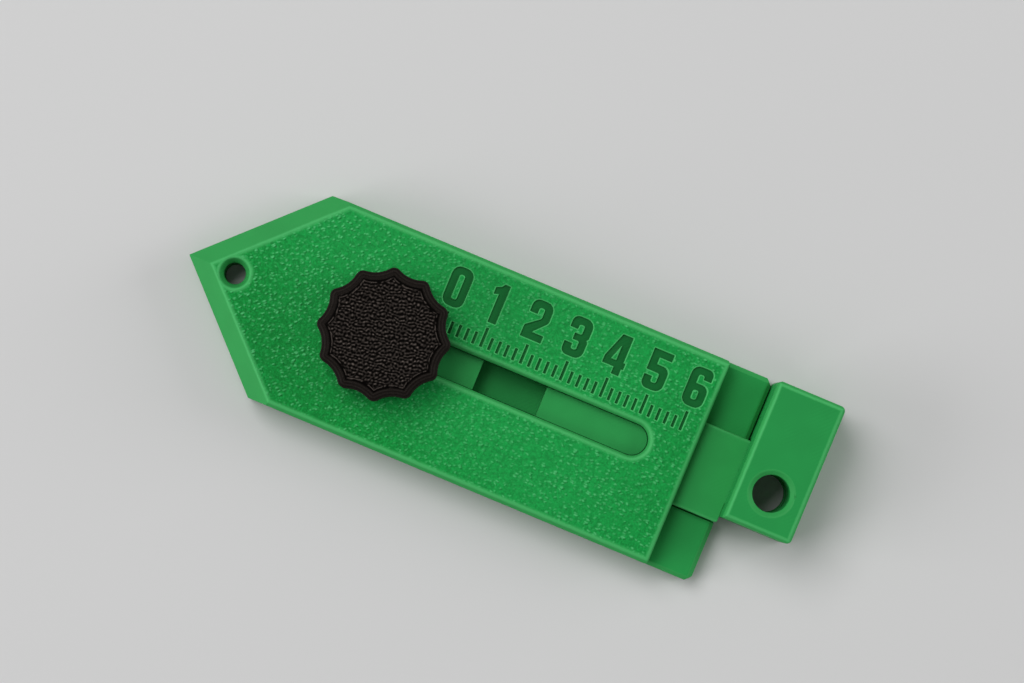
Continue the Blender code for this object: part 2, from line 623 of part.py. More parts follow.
def make_clamp_hardware(steel, carriage, knob_seat, knob_seat_height):
    """The bolt through slider and knob, the washer under the knob, and the nut pressed into it."""
    head_bottom = SLIDER_BOTTOM + BOLT_HEAD_SINK
    head_top = head_bottom + BOLT_HEAD_HEIGHT
    foot, recess_roof, nut_top, bore_roof, top = knob_levels()
    tip = knob_seat_height + bore_roof - BOLT_GAP
    bolt = [
        hex_ring(BOLT_HEAD_FLATS, head_bottom),
        hex_ring(BOLT_HEAD_FLATS, head_top),
        round_ring(BOLT_RADIUS, head_top),
        round_ring(BOLT_RADIUS, tip - BOLT_TIP_CHAMFER),
        round_ring(BOLT_RADIUS - BOLT_TIP_CHAMFER, tip),
    ]
    make_solid("clamp_bolt", [bolt], steel, carriage)
    washer = [
        round_ring(BOLT_HOLE_RADIUS, 0, ROUND_SEGMENTS),
        round_ring(WASHER_RADIUS, 0, ROUND_SEGMENTS),
        round_ring(WASHER_RADIUS, WASHER_THICKNESS, ROUND_SEGMENTS),
        round_ring(BOLT_HOLE_RADIUS, WASHER_THICKNESS, ROUND_SEGMENTS),
    ]
    make_solid("knob_washer", [washer], steel, knob_seat, tube=True)
    nut = [
        round_ring(BOLT_HOLE_RADIUS, recess_roof),
        hex_ring(BOLT_HEAD_FLATS - 2 * NUT_CHAMFER, recess_roof),
        hex_ring(BOLT_HEAD_FLATS, recess_roof + NUT_CHAMFER),
        hex_ring(BOLT_HEAD_FLATS, nut_top),
        round_ring(BOLT_HOLE_RADIUS, nut_top),
    ]
    make_solid("knob_nut", [nut], steel, knob_seat, tube=True)


def make_copies(name, rings, material, parent, places, tube=False):
    """Objects that share one mesh, at several places."""
    first = make_solid(f"{name}_1", [rings], material, parent, (*places[0], 0), tube)
    for number, place in enumerate(places[1:], start=2):
        copy = bpy.data.objects.new(f"{name}_{number}", first.data)
        copy.location = (*place, 0)
        copy.parent = parent
        bpy.context.collection.objects.link(copy)


def make_fasteners(steel, brass, body, carriage):
    """The countersunk screws from below and the inserts that they thread into, in cover and head."""
    cover_tip = COVER_BOTTOM + INSERT_LENGTH
    make_copies("cover_screw", screw_rings(cover_tip), steel, body, cover_screw_places())
    make_copies("cover_insert", insert_rings(COVER_BOTTOM), brass, body, cover_screw_places(), tube=True)

    insert_bottom = SLIDER_TOP + 2 * SEAT_GAP
    head_tip = insert_bottom + INSERT_LENGTH
    make_copies("head_screw", screw_rings(head_tip), steel, carriage, head_screw_places())
    make_copies("head_insert", insert_rings(insert_bottom), brass, carriage, head_screw_places(), tube=True)


def main():
    for leftover in list(bpy.data.objects):
        bpy.data.objects.remove(leftover)

    textured_green = make_material("textured_green_plastic", (0.016, 0.27, 0.055), 0.5)
    smooth_green = make_material("smooth_green_plastic", (0.022, 0.25, 0.065), 0.42)
    black = make_material("black_plastic", (0.012, 0.009, 0.008), 0.45)
    steel = make_material("zinc_plated_steel", (0.55, 0.56, 0.58), 0.32, 1.0)
    brass = make_material("brass", (0.66, 0.47, 0.19), 0.35, 1.0)

    body = make_empty("body_frame", (-OVERALL_LENGTH / 2, 0, 0))
    carriage = make_empty("slider_carriage", (BOLT_SETBACK, 0, 0), body)
    knob_seat_height = BODY_TOP + SEAT_GAP
    knob_seat = make_empty("knob_axis", (0, 0, knob_seat_height), carriage)

    make_base(smooth_green, body)
    make_cover(textured_green, body)
    make_slider(smooth_green, carriage)
    make_head(smooth_green, carriage)
    make_knob(black, knob_seat)
    make_clamp_hardware(steel, carriage, knob_seat, knob_seat_height)
    make_fasteners(steel, brass, body, carriage)


main()
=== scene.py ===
"""Looks of an offset marking gauge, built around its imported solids.

Run as a script, it loads the solids, registers the panel and operators below, and calls the operators in
order: body, slider, knob, fasteners, stage.
"""

import math
from contextlib import contextmanager

import bmesh
import bpy
import numpy as np
from bpy.props import FloatProperty, FloatVectorProperty, IntProperty, PointerProperty
from mathutils import Matrix, Vector
from mathutils.geometry import delaunay_2d_cdt


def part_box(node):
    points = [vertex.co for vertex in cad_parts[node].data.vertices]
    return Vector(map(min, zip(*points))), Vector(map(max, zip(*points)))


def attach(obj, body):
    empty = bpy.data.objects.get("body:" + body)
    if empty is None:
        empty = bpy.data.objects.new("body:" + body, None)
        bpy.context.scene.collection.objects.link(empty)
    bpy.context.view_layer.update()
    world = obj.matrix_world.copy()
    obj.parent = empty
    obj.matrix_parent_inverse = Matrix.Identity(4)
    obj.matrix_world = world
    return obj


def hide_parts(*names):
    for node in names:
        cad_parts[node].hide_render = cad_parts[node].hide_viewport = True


bl_info = {
    "name": "Offset Marking Gauge",
    "version": (1, 0, 0),
    "blender": (4, 5, 0),
    "location": "3D View > Sidebar > Marking Gauge",
    "description": "Dresses the solids of an offset marking gauge with fine shapes and materials",
    "category": "Object",
}

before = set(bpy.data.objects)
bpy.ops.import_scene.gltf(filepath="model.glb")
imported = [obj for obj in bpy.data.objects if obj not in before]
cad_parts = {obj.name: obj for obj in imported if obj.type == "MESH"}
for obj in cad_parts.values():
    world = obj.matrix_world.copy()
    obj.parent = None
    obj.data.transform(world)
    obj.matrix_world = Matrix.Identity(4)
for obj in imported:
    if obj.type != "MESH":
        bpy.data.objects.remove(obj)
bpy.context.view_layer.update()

MM = 0.001
GAP = 0.3 * MM
WELD = 0.001 * MM
NEARLY = 0.01 * MM

# Places of the solids
COVER_LOW, COVER_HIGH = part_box("cover_plate")
BASE_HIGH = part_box("base_plate")[1]
BAR_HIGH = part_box("slider_bar")[1]
HEAD_LOW, HEAD_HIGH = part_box("head_block")
KNOB_LOW, KNOB_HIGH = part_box("knob")
WASHER_LOW, WASHER_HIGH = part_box("knob_washer")
NUT_LOW, NUT_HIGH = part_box("knob_nut")
BOLT_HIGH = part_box("clamp_bolt")[1]
KNOB_AXIS = Vector(((KNOB_LOW.x + KNOB_HIGH.x) / 2, 0, 0))
BODY_TOP, COVER_END, BASE_TOP = COVER_HIGH.z, COVER_HIGH.x, BASE_HIGH.z

# Zones of edges and faces: ranges along, across and up
CHANNEL_EDGE = ((-80 * MM, 80 * MM), (10 * MM, 11 * MM), (2 * MM, 7 * MM))
POINT_ZONE = ((-80 * MM, -54 * MM), (-24 * MM, 24 * MM), (BODY_TOP - 1 * MM, BODY_TOP + 1 * MM))
SCALE_ZONE = ((-21 * MM, COVER_END - 1.2 * MM), (5.4 * MM, 23 * MM), (BODY_TOP - 1.5 * MM, BODY_TOP + 1 * MM))

# Body
MARK_LOW, MARK_HIGH = BODY_TOP - 0.9 * MM, BODY_TOP - 0.3 * MM
MARK_UNDERCUT = 0.05 * MM
CHANNEL_WALL = 10.6 * MM
CHANNEL_FIT = 0.22 * MM
SHOULDER_REACH = 1.2 * MM
SLOT_REACH = 4.0 * MM
SLOT_LEAN = 0.2 * MM
SLOT_LEAN_DEPTH = 1.5 * MM
SLOPE_DEPTH = 4.8 * MM
SLOT_END_MARGIN = 1.0 * MM
SCALE_SOFTNESS, POINT_SOFTNESS, CHANNEL_SOFTNESS = 0.0, 0.2, 0.2
NUMERAL_WIDTH, NUMERAL_HEIGHT = 5.1 * MM, 9.4 * MM
STROKE = 1.85 * MM
CORNER_STEPS = 5
LEAST_RADIUS = 0.03 * MM
CUT_OVER = 0.1 * MM

# Rounding and shading
SHARP_EDGE = math.radians(20)
FLAT_ANGLE = math.radians(0.5)
BODY_CREASE, KNOB_CREASE, SCREW_CREASE = math.radians(50), math.radians(60), math.radians(35)
LEVEL, NEAR_LEVEL, SLOPING, UPRIGHT = 0.9995, 0.99, 0.95, 0.2

# Knob
LOBES = 12
LOBE_STEPS = 36
LOBE_TURN = math.radians(12.7)
TIP_ROUND = 1.8 * MM
SCALLOP_DEPTH = 1.2 * MM
BOLT_RADIUS = 2.5 * MM
FOOT_PROFILE = ((0.4, 0.0), (0.12, 0.12), (0.0, 0.4))
BAND_PROFILE = (
    (0.0, -1.10), (0.05, -0.94), (0.18, -0.80), (0.45, -0.62), (0.65, -0.50), (0.85, -0.37), (1.05, -0.24),
    (1.26, -0.13), (1.38, -0.12), (1.47, -0.18), (1.54, -0.29), (1.62, -0.31), (1.70, -0.22))
TOP_RINGS = 72
TOP_LEVEL = -0.16 * MM
OFF_BAND = -1.0
RIM_LINES = 2.0
BAND_TONE = 0.17
WAVER_SIZE, WAVER_SHARE = 1 / 0.6, 0.6
LINE_GAP_SIZE = 1 / 1.1

# Screws
SCREW_STEPS = 32
SCREW_RADIUS = 1.5 * MM
SCREW_HEAD_HEIGHT = 1.7 * MM
SCREW_HEAD_EDGE = ((0.12, 0.0), (0.0, 0.1), (0.0, 0.22))
SCREW_TIP_TAPER = 0.3 * MM
THREAD_PITCH = 0.5 * MM
THREAD_DEPTH = 0.28 * MM

# Finishes
GREEN_GLOSS = 0.09
KNOB_GLOSS = 0.01
BLOTCHES = (0.35, 0.65)
# Painted shade: the slot's walls get the recess green darkened by this share, as the shade inside the slot
SLOT_SHADE = 0.4
CLOUD_SIZE, PIT_SIZE, GRAIN_SIZE = 12 * MM, 0.9 * MM, 0.42 * MM
PIT_HEIGHT, GRAIN_HEIGHT, SPECK_HEIGHT = 0.11 * MM, 0.06 * MM, 0.05 * MM
LAYER_SPACING, RASTER_SPACING, LINE_SHARE = 0.2 * MM, 1.15 * MM, 0.08
LAYER_HEIGHT, RASTER_HEIGHT, SCUFF_HEIGHT = 0.012 * MM, 0.004 * MM, 0.008 * MM
DRIFT_SIZE, PATCH_SIZE, SCUFF_SIZE = 9 * MM, 7 * MM, 0.8 * MM
KNOB_GRAIN_SIZE, KNOB_GRAIN_HEIGHT, WORM_HEIGHT = 0.35 * MM, 0.02 * MM, 0.16 * MM
METAL_CLOUD_SIZE, METAL_LINE_SIZE, METAL_LINE_HEIGHT = 2.5 * MM, 0.5 * MM, 0.01 * MM
SLOT_RIM_REACH = 5.5 * MM
APEX_HOLE, APEX_RIM_REACH = -65.2 * MM, 4.2 * MM
# Painted highlight: the pale strip along the edges of the top faces
STRIP_WAVER_SIZE, STRIP_WAVER = 1.6 * MM, 0.25 * MM
STRIP_RISE = (-0.62 * MM, -0.12 * MM)
STRIP_END = -0.15 * MM
STRIP_SHARE = 0.95
COVER_FADE, HEAD_FADE, BAR_FADE = 1.0 * MM, 0.5 * MM, 0.95 * MM
SPECK_LAYERS = (
    (0.74 * MM, 2.0, math.radians(48), 1.0, 0.0),
    (0.78 * MM, 1.5, math.radians(20), 0.8, 0.55),
    (0.84 * MM, 1.8, math.radians(-8), 0.0, 0.85))
SPECK_BEND_SIZE, SPECK_BEND = 1.0 * MM, (0.7 * MM,) * 3
SPECK_EDGE, SPECK_CHOICE = (0.06, 0.40, 1.0, 0.0), (0.50, 0.95)
# Painted shadow: how far each speck's darker copy is moved, as the shadow it casts
SPECK_SHADE = (0.32 * MM, -0.14 * MM, 0)
SPECK_TURNING = (-50 * MM, 25 * MM)
# Painted light: how the grained top turns paler along and across the gauge, where the light falls more
# strongly
LIGHT_GRADIENT_SLANT = 1.6
LIGHT_GRADIENT_RISE = (-68 * MM, -12 * MM)
LIGHT_GRADIENT_FALL = (20 * MM, 48 * MM, 1.0, 0.65)
WORM_WAVES = tuple((math.radians(turn), strength) for turn, strength in (
    (8, 0.25), (-22, 0.41), (-52, 0.44), (-82, 0.70), (-112, 0.28), (-142, 0.24)))
WORM_SPACING, WORM_DRIFT, WORM_SWAY = 1.12, 2.4, 1.6
# Painted highlights: tones and rises of the knob's ridges and their brighter crests
WORM_RISE, CREST_RISE = (-0.50, 0.60), (0.50, 2.20)
WORM_TONE, CREST_TONE = 0.19, 1.75

# Stage
FLOOR_REACH = 6.0
FLOOR_DROP = 0.02 * MM
LAMP_BEARINGS = {"key_lamp": (155, 59), "left_lamp": (210, 21), "right_lamp": (30, 21)}
CAMERA_PLACE = (-4.8 * MM, -20.1 * MM, 969.8 * MM)
CAMERA_TURN = (1.556, -0.963, 22.663)
CAMERA_RANGE = (0.05, 20)
SENSOR_WIDTH = 36


def length(name, description, default, low, high):
    """A length that a user can set."""
    return FloatProperty(
        name=name, description=description, default=default, min=low, max=high,
        subtype="DISTANCE", unit="LENGTH")


def colour(name, description, *default):
    """A colour that a user can set."""
    return FloatVectorProperty(
        name=name, description=description, default=default, min=0, max=1, subtype="COLOR")


def share_of_white(name, description, default):
    """A strength of light that a user can set."""
    return FloatProperty(name=name, description=description, default=default, min=0, max=2, subtype="FACTOR")


class GaugeSizes(bpy.types.PropertyGroup):
    """Sizes of the fine shapes."""

    soft_round: length(
        "Soft Rounding", "Width of the rounding on the edges that meet a top face",
        0.3 * MM, 0.1 * MM, 0.5 * MM)
    edge_round: length(
        "Edge Rounding", "Width of the small rounding on all other edges", 0.16 * MM, 0.02 * MM, 0.5 * MM)
    seam_gap: length("Seam", "Gap left between the cover and the base", 0.06 * MM, 0.01 * MM, 0.3 * MM)
    scale_count: IntProperty(
        name="Numerals", description="How many numerals the scale carries", default=7, min=1, max=7)
    scale_step: length("Numeral Spacing", "Distance between neighbouring numerals", 10 * MM, 8 * MM, 20 * MM)
    scale_setback: length(
        "Scale Setback", "Distance from the cover's square end to the scale's last mark",
        5 * MM, 4 * MM, 20 * MM)
    numeral_height: length(
        "Numeral Height", "Height of the recessed numerals", NUMERAL_HEIGHT, 2 * MM, 11 * MM)
    numeral_foot: length(
        "Numeral Foot", "Distance from the slot's centreline to the foot of the numerals",
        12.2 * MM, 10 * MM, 15 * MM)
    numeral_depth: length("Numeral Depth", "Depth of the recessed numerals", 0.7 * MM, 0.1 * MM, 1 * MM)
    numeral_rim: length(
        "Mark Rim", "Width of the sloping rim round each numeral and each mark",
        0.28 * MM, 0.05 * MM, 0.5 * MM)
    ridge_height: length(
        "Ridge Height", "Height of the fine ridges on the knob's top", 0.13 * MM, 0, 0.4 * MM)
    ridge_spacing: length(
        "Ridge Spacing", "Distance between neighbouring ridges on the knob's top",
        0.75 * MM, 0.3 * MM, 3 * MM)


class GaugeColours(bpy.types.PropertyGroup):
    """Colours of the finishes, as linear values."""

    # Painted light: the grained top blends from this colour into the paler end colour along the gauge
    grain_green: colour("Grained Green", "Cover's grained top towards its point", 0.0025, 0.232, 0.034)
    grain_green_end: colour(
        "Grained Green End", "Cover's grained top towards its square end", 0.0085, 0.302, 0.057)
    smooth_green: colour("Smooth Green", "Smooth printed faces", 0.019, 0.285, 0.064)
    bar_green: colour("Bar Green", "Sliding bar", 0.027, 0.325, 0.076)
    # Painted sheen: chamfers and slopes are painted paler than the faces round them, as the light they catch
    rim_green: colour("Rim Green", "Chamfers and other slopes", 0.032, 0.320, 0.077)
    # Painted highlight on the rounded edges of the top faces and on the rims of the numerals and marks
    worn_green: colour("Edge Highlight Green", "Paler rounded edges round the top faces", 0.064, 0.445, 0.130)
    recess_green: colour("Recess Green", "Floors of marks and numerals", 0.0050, 0.130, 0.026)
    # Painted glints: the pale specks stand in for light glinting off the grain's bumps
    glint_green: colour("Glint Green", "Pale specks in the grain", 0.095, 0.56, 0.195)
    knob_black: colour("Knob Black", "Grooves of the knob's top", 0.0016, 0.0012, 0.0010)
    # Painted highlight: the knob's ridges and crests are painted in this paler tone
    ridge_black: colour("Ridge Black", "Smooth band and ridges of the knob", 0.075, 0.062, 0.054)
    zinc: colour("Zinc", "Plated steel", 0.55, 0.56, 0.58)
    brass: colour("Brass", "Threaded inserts", 0.66, 0.47, 0.19)
    floor: colour("Floor", "Floor and backdrop", 0.645, 0.645, 0.645)


class GaugeStage(bpy.types.PropertyGroup):
    """Light and camera."""

    key_share: share_of_white(
        "Key Light", "Share of full white that the high lamp gives on a level face", 0.45)
    side_share: share_of_white(
        "Side Light", "Share of full white that each low lamp gives on a level face", 0.15)
    sky_share: share_of_white(
        "Sky Light", "Share of full white that the even surrounding light gives", 0.26)
    lamp_size: length("Lamp Size", "Side of each square lamp", 1.3, 0.05, 3)
    lamp_distance: length("Lamp Distance", "Distance of the lamps from the gauge", 2.2, 0.5, 5)
    lens: FloatProperty(
        name="Lens", description="Focal length on a 36 mm wide sensor",
        default=145.8, min=20, max=400, unit="CAMERA")


def sizes():
    return bpy.context.scene.gauge_sizes


def colours():
    return bpy.context.scene.gauge_colours


# Meshes

@contextmanager
def edited(mesh, source=None):
    """Opens a mesh, or a source for it, for editing, and writes the result to the mesh."""
    bm = bmesh.new()
    bm.from_mesh(source or mesh)
    yield bm
    bm.to_mesh(mesh)
    bm.free()


@contextmanager
def drawn(mesh):
    """Opens a mesh for drawing, and writes it with its faces pointing outwards."""
    with edited(mesh) as bm:
        yield bm
        bmesh.ops.recalc_face_normals(bm, faces=bm.faces)


def linked(name, data):
    """A new object in the scene."""
    new = bpy.data.objects.new(name, data)
    bpy.context.scene.collection.objects.link(new)
    return new


def welded_copy(node):
    """A welded copy of a solid's mesh."""
    mesh = bpy.data.meshes.new(f"{node}_shape")
    with edited(mesh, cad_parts[node].data) as bm:
        bmesh.ops.remove_doubles(bm, verts=bm.verts, dist=WELD)
    mesh.materials.clear()
    return mesh


def join_flats(mesh):
    """Welds the mesh, closes what is open and joins up its flat faces."""
    with edited(mesh) as bm:
        bmesh.ops.remove_doubles(bm, verts=bm.verts, dist=WELD)
        bmesh.ops.holes_fill(bm, edges=[edge for edge in bm.edges if edge.is_boundary], sides=0)
        bmesh.ops.dissolve_limit(
            bm, angle_limit=FLAT_ANGLE, use_dissolve_boundaries=False, verts=bm.verts, edges=bm.edges)
    return mesh


def clean_copy(node):
    """A welded copy of a solid's mesh, with its flat faces joined up."""
    return join_flats(welded_copy(node))


def baked(mesh, name, set_up):
    """The mesh after the modifiers that set_up adds to a temporary object."""
    worker = linked(f"{name}_worker", mesh)
    set_up(worker)
    graph = bpy.context.evaluated_depsgraph_get()
    result = bpy.data.meshes.new_from_object(worker.evaluated_get(graph))
    result.name = name
    bpy.data.objects.remove(worker)
    return result


def add_modifier(worker, name, kind, **settings):
    """Adds a modifier and sets what it is told."""
    modifier = worker.modifiers.new(name, kind)
    for key, value in settings.items():
        setattr(modifier, key, value)
    return modifier


def round_edges(mesh, name, softness):
    """The mesh with its sharp edges rounded, each by the share of the full width that softness gives it."""
    with edited(mesh) as bm:
        weights = bm.edges.layers.float.new("bevel_weight_edge")
        for edge in bm.edges:
            if len(edge.link_faces) == 2 and edge.calc_face_angle() > SHARP_EDGE:
                edge[weights] = softness(edge)
    return baked(mesh, name, lambda worker: add_modifier(
        worker, "Edge rounding", "BEVEL", width=sizes().soft_round, segments=3, limit_method="WEIGHT",
        miter_outer="MITER_ARC", use_clamp_overlap=False))


def split_at(mesh, along):
    """The mesh with an edge loop across it at a distance along the gauge."""
    with edited(mesh) as bm:
        bmesh.ops.bisect_plane(
            bm, geom=[*bm.verts, *bm.edges, *bm.faces], plane_co=(along, 0, 0), plane_no=(1, 0, 0))
    return mesh


def edge_softness(top, zones=(), start=-math.inf):
    """Full softness for the edges of the face at the height top and little for the rest.

    Each zone comes with the share of the softness that its edges keep. Edges that begin before the distance
    start, along the gauge, get little softness too.
    """
    little = sizes().edge_round / sizes().soft_round

    def softness(edge):
        ends = [vertex.co for vertex in edge.verts]
        middle = (ends[0] + ends[1]) / 2
        on_top = all(abs(end.z - top) < NEARLY and end.x > start - NEARLY for end in ends)
        share = 1.0 if on_top and edge.is_convex else little
        for zone, kept in zones:
            if all(low < value < high for value, (low, high) in zip(middle, zone)):
                share *= kept
        return share

    return softness


def even_normals(mesh, name):
    """The mesh smoothly shaded, with normals led by its large faces."""
    mesh.shade_smooth()
    mesh.set_sharp_from_angle(angle=BODY_CREASE)
    return baked(mesh, name, lambda worker: add_modifier(
        worker, "Even normals", "WEIGHTED_NORMAL", mode="FACE_AREA", weight=90, keep_sharp=True))


def face_values(mesh):
    """Centres and normals of a mesh's faces."""
    values = np.empty((2, len(mesh.polygons) * 3), np.float32)
    mesh.polygons.foreach_get("center", values[0])
    mesh.polygons.foreach_get("normal", values[1])
    return values.reshape(2, -1, 3)


def paint_faces(mesh, names, choice):
    """Gives each face the finish that its number in choice names."""
    mesh.materials.clear()
    for name in names:
        mesh.materials.append(finish(name))
    mesh.polygons.foreach_set("material_index", np.asarray(choice, np.int32))
    mesh.update()


def place(mesh, name, body, slot, *nodes):
    """Makes a mesh a piece of the gauge, in place of the named solids."""
    piece = linked(name, mesh)
    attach(piece, body)
    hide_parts(*nodes)
    return piece


def dress(node, name):
    """Gives a solid that stays its finish."""
    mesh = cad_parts[node].data
    mesh.materials.clear()
    mesh.materials.append(finish(name))


# Node trees

class Wire:
    """The output of a node, which can be reckoned with."""

    def __init__(self, socket):
        self.socket = socket

    def reckon(self, operation, *values):
        return get(self.socket.id_data, "ShaderNodeMath", dict(enumerate(values)), operation=operation)

    def __add__(self, other):
        return self.reckon("ADD", self, other)

    def __sub__(self, other):
        return self.reckon("SUBTRACT", self, other)

    def __rsub__(self, other):
        return self.reckon("SUBTRACT", other, self)

    def __mul__(self, other):
        return self.reckon("MULTIPLY", self, other)

    def __truediv__(self, other):
        return self.reckon("DIVIDE", self, other)

    def __rtruediv__(self, other):
        return self.reckon("DIVIDE", other, self)

    def __abs__(self):
        return self.reckon("ABSOLUTE", self)

    def above(self, limit):
        return self.reckon("GREATER_THAN", self, limit)

    def least(self, other):
        return self.reckon("MINIMUM", self, other)

    def most(self, other):
        return self.reckon("MAXIMUM", self, other)

    def wave(self, spacing, shift=0.0):
        """A sine along the wire's value, one wave for each spacing."""
        return self.reckon("SINE", self * (2 * math.pi / spacing) + shift)


def set_inputs(node, inputs):
    """Links the inputs that are given wires and sets the others."""
    for key, value in inputs.items():
        if isinstance(value, Wire):
            node.id_data.links.new(value.socket, node.inputs[key])
        else:
            node.inputs[key].default_value = value


def add_node(tree, kind, inputs=None, **settings):
    """Adds a node, sets what it is told and links the wires that it is given."""
    node = tree.nodes.new(kind)
    for name, value in settings.items():
        setattr(node, name, value)
    set_inputs(node, inputs or {})
    return node


def get(tree, kind, inputs=None, output=0, **settings):
    """The output of a new node."""
    return Wire(add_node(tree, kind, inputs, **settings).outputs[output])


def vector(operation, first, *others, output=0):
    """A new vector from a wire and others, or a length or product as its second output."""
    return get(
        first.socket.id_data, "ShaderNodeVectorMath", dict(enumerate((first, *others))), output,
        operation=operation)


def split(value, kind="XYZ"):
    """The three parts of a vector or a colour."""
    key = "Vector" if kind == "XYZ" else "Color"
    node = add_node(value.socket.id_data, f"ShaderNodeSeparate{kind}", {key: value})
    return [Wire(socket) for socket in node.outputs]


def ramp(value, low, high, out_low=0.0, out_high=1.0):
    """A smooth step from one value to another."""
    return get(
        value.socket.id_data, "ShaderNodeMapRange",
        {"Value": value, "From Min": low, "From Max": high, "To Min": out_low, "To Max": out_high},
        interpolation_type="SMOOTHSTEP")


def mix_colours(share, first, second):
    """The first colour turned into the second by a share."""
    return get(
        share.socket.id_data, "ShaderNodeMix", {0: share, 6: first, 7: second}, 2, data_type="RGBA")


def opaque(hue, factor=1.0):
    return (*(channel * factor for channel in hue), 1.0)


def noise(position, size, detail=2.0, roughness=0.5, output="Fac"):
    """Soft noise whose blotches are about the given size across."""
    return get(
        position.socket.id_data, "ShaderNodeTexNoise",
        {"Vector": position, "Scale": 1 / size, "Detail": detail, "Roughness": roughness}, output)


def new_finish(name, roughness, metallic=0.0, gloss=0.5):
    """A material with its shader, and the object's position and normal."""
    material = bpy.data.materials.new(name)
    material.use_nodes = True
    shader = material.node_tree.nodes["Principled BSDF"]
    set_inputs(shader, {"Roughness": roughness, "Metallic": metallic, "Specular IOR Level": gloss})
    where = add_node(material.node_tree, "ShaderNodeTexCoord")
    return material, shader, Wire(where.outputs["Object"]), Wire(where.outputs["Normal"])


def set_bump(shader, *layers):
    """Stacks bumps, each a height with its depth in metres."""
    below = {}
    for height, depth in layers:
        inputs = {"Height": height, "Distance": depth, "Strength": 1.0, **below}
        below = {"Normal": get(shader.id_data, "ShaderNodeBump", inputs)}
    set_inputs(shader, below)


def level_corners(node):
    """Corners of a solid's highest level face."""
    points = np.array([vertex.co[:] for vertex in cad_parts[node].data.vertices])
    return points[points[:, 2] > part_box(node)[1].z - NEARLY, :2]


def box_lines(points):
    """Lines along the four sides of the points, each with its outward direction and its place along it."""
    low, high = points.min(axis=0), points.max(axis=0)
    return [((1, 0), high[0]), ((-1, 0), -low[0]), ((0, 1), high[1]), ((0, -1), -low[1])]


def top_outline(name):
    """Straight sides and rounded openings of a top face, for the painted highlight strip along its edges.

    A side is an outward direction and a place along it. An opening is the two ends of its centreline along
    the gauge, and its radius. Last comes the width over which the strip fades on the top face.
    """
    if name == "head":
        return box_lines(level_corners("head_block")), [], HEAD_FADE
    if name == "bar":
        return [((0, 1), BAR_HIGH.y), ((0, -1), BAR_HIGH.y)], [], BAR_FADE
    corners = level_corners("cover_plate")
    slot = corners[(np.abs(corners[:, 1]) < SLOT_RIM_REACH) & (corners[:, 0] > POINT_ZONE[0][1])]
    radius = np.abs(slot[:, 1]).max()
    tip = corners[:, 0].min()
    hole = np.hypot(corners[:, 0] - APEX_HOLE, corners[:, 1])
    diagonal = math.sqrt(0.5)
    sides = box_lines(corners)
    sides[1] = ((-diagonal, diagonal), -tip * diagonal)
    sides.append(((-diagonal, -diagonal), -tip * diagonal))
    return sides, [
        (slot[:, 0].min() + radius, slot[:, 0].max() - radius, radius),
        (APEX_HOLE, APEX_HOLE, hole[hole < APEX_RIM_REACH].max())], COVER_FADE


def edge_strip(position, hue, top):
    """The colour with a soft pale strip along the edges of a top face, a painted highlight of the rounded
    edges.
    """
    sides, openings, fade = top_outline(top)
    tree = position.socket.id_data
    plan = vector("MULTIPLY", position, (1, 1, 0))
    nearest = None
    for (along, across), reach in sides:
        inside = float(reach) - vector("DOT_PRODUCT", plan, (along, across, 0), output=1)
        nearest = nearest.least(inside) if nearest else inside
    for start, end, radius in openings:
        held = get(tree, "ShaderNodeClamp", {"Value": split(plan)[0], "Min": float(start), "Max": float(end)})
        foot = get(tree, "ShaderNodeCombineXYZ", {"X": held})
        nearest = nearest.least(vector("LENGTH", vector("SUBTRACT", plan, foot), output=1) - float(radius))
    moved = (noise(position, STRIP_WAVER_SIZE) - 0.5) * STRIP_WAVER + nearest
    share = ramp(moved, *STRIP_RISE) * ramp(moved, STRIP_END, fade, 1.0, 0.0)
    return mix_colours(share * STRIP_SHARE, hue, opaque(colours().worn_green))


def specks(position, share):
    """Small crisp dashes whose direction turns along the gauge, as the share goes from nought to one."""
    tree = position.socket.id_data
    bend = vector("SUBTRACT", noise(position, SPECK_BEND_SIZE, 1.0, output="Color"), (0.5, 0.5, 0.5))
    bent = vector("ADD", position, vector("MULTIPLY", bend, SPECK_BEND))
    found = None
    for size, stretch, turn, near, far in SPECK_LAYERS:
        lay = get(
            tree, "ShaderNodeMapping", {"Vector": bent, "Rotation": (0, 0, turn), "Scale": (stretch, 1, 1)},
            vector_type="TEXTURE")
        cells = add_node(
            tree, "ShaderNodeTexVoronoi", {"Vector": lay, "Scale": 1 / size, "Randomness": 1.0},
            voronoi_dimensions="2D")
        dot = ramp(Wire(cells.outputs["Distance"]), *SPECK_EDGE)
        chosen = ramp(split(Wire(cells.outputs["Color"]), "Color")[0], *SPECK_CHOICE)
        dash = dot * chosen * (share * (far - near) + near)
        found = found.most(dash) if found else dash
    return found


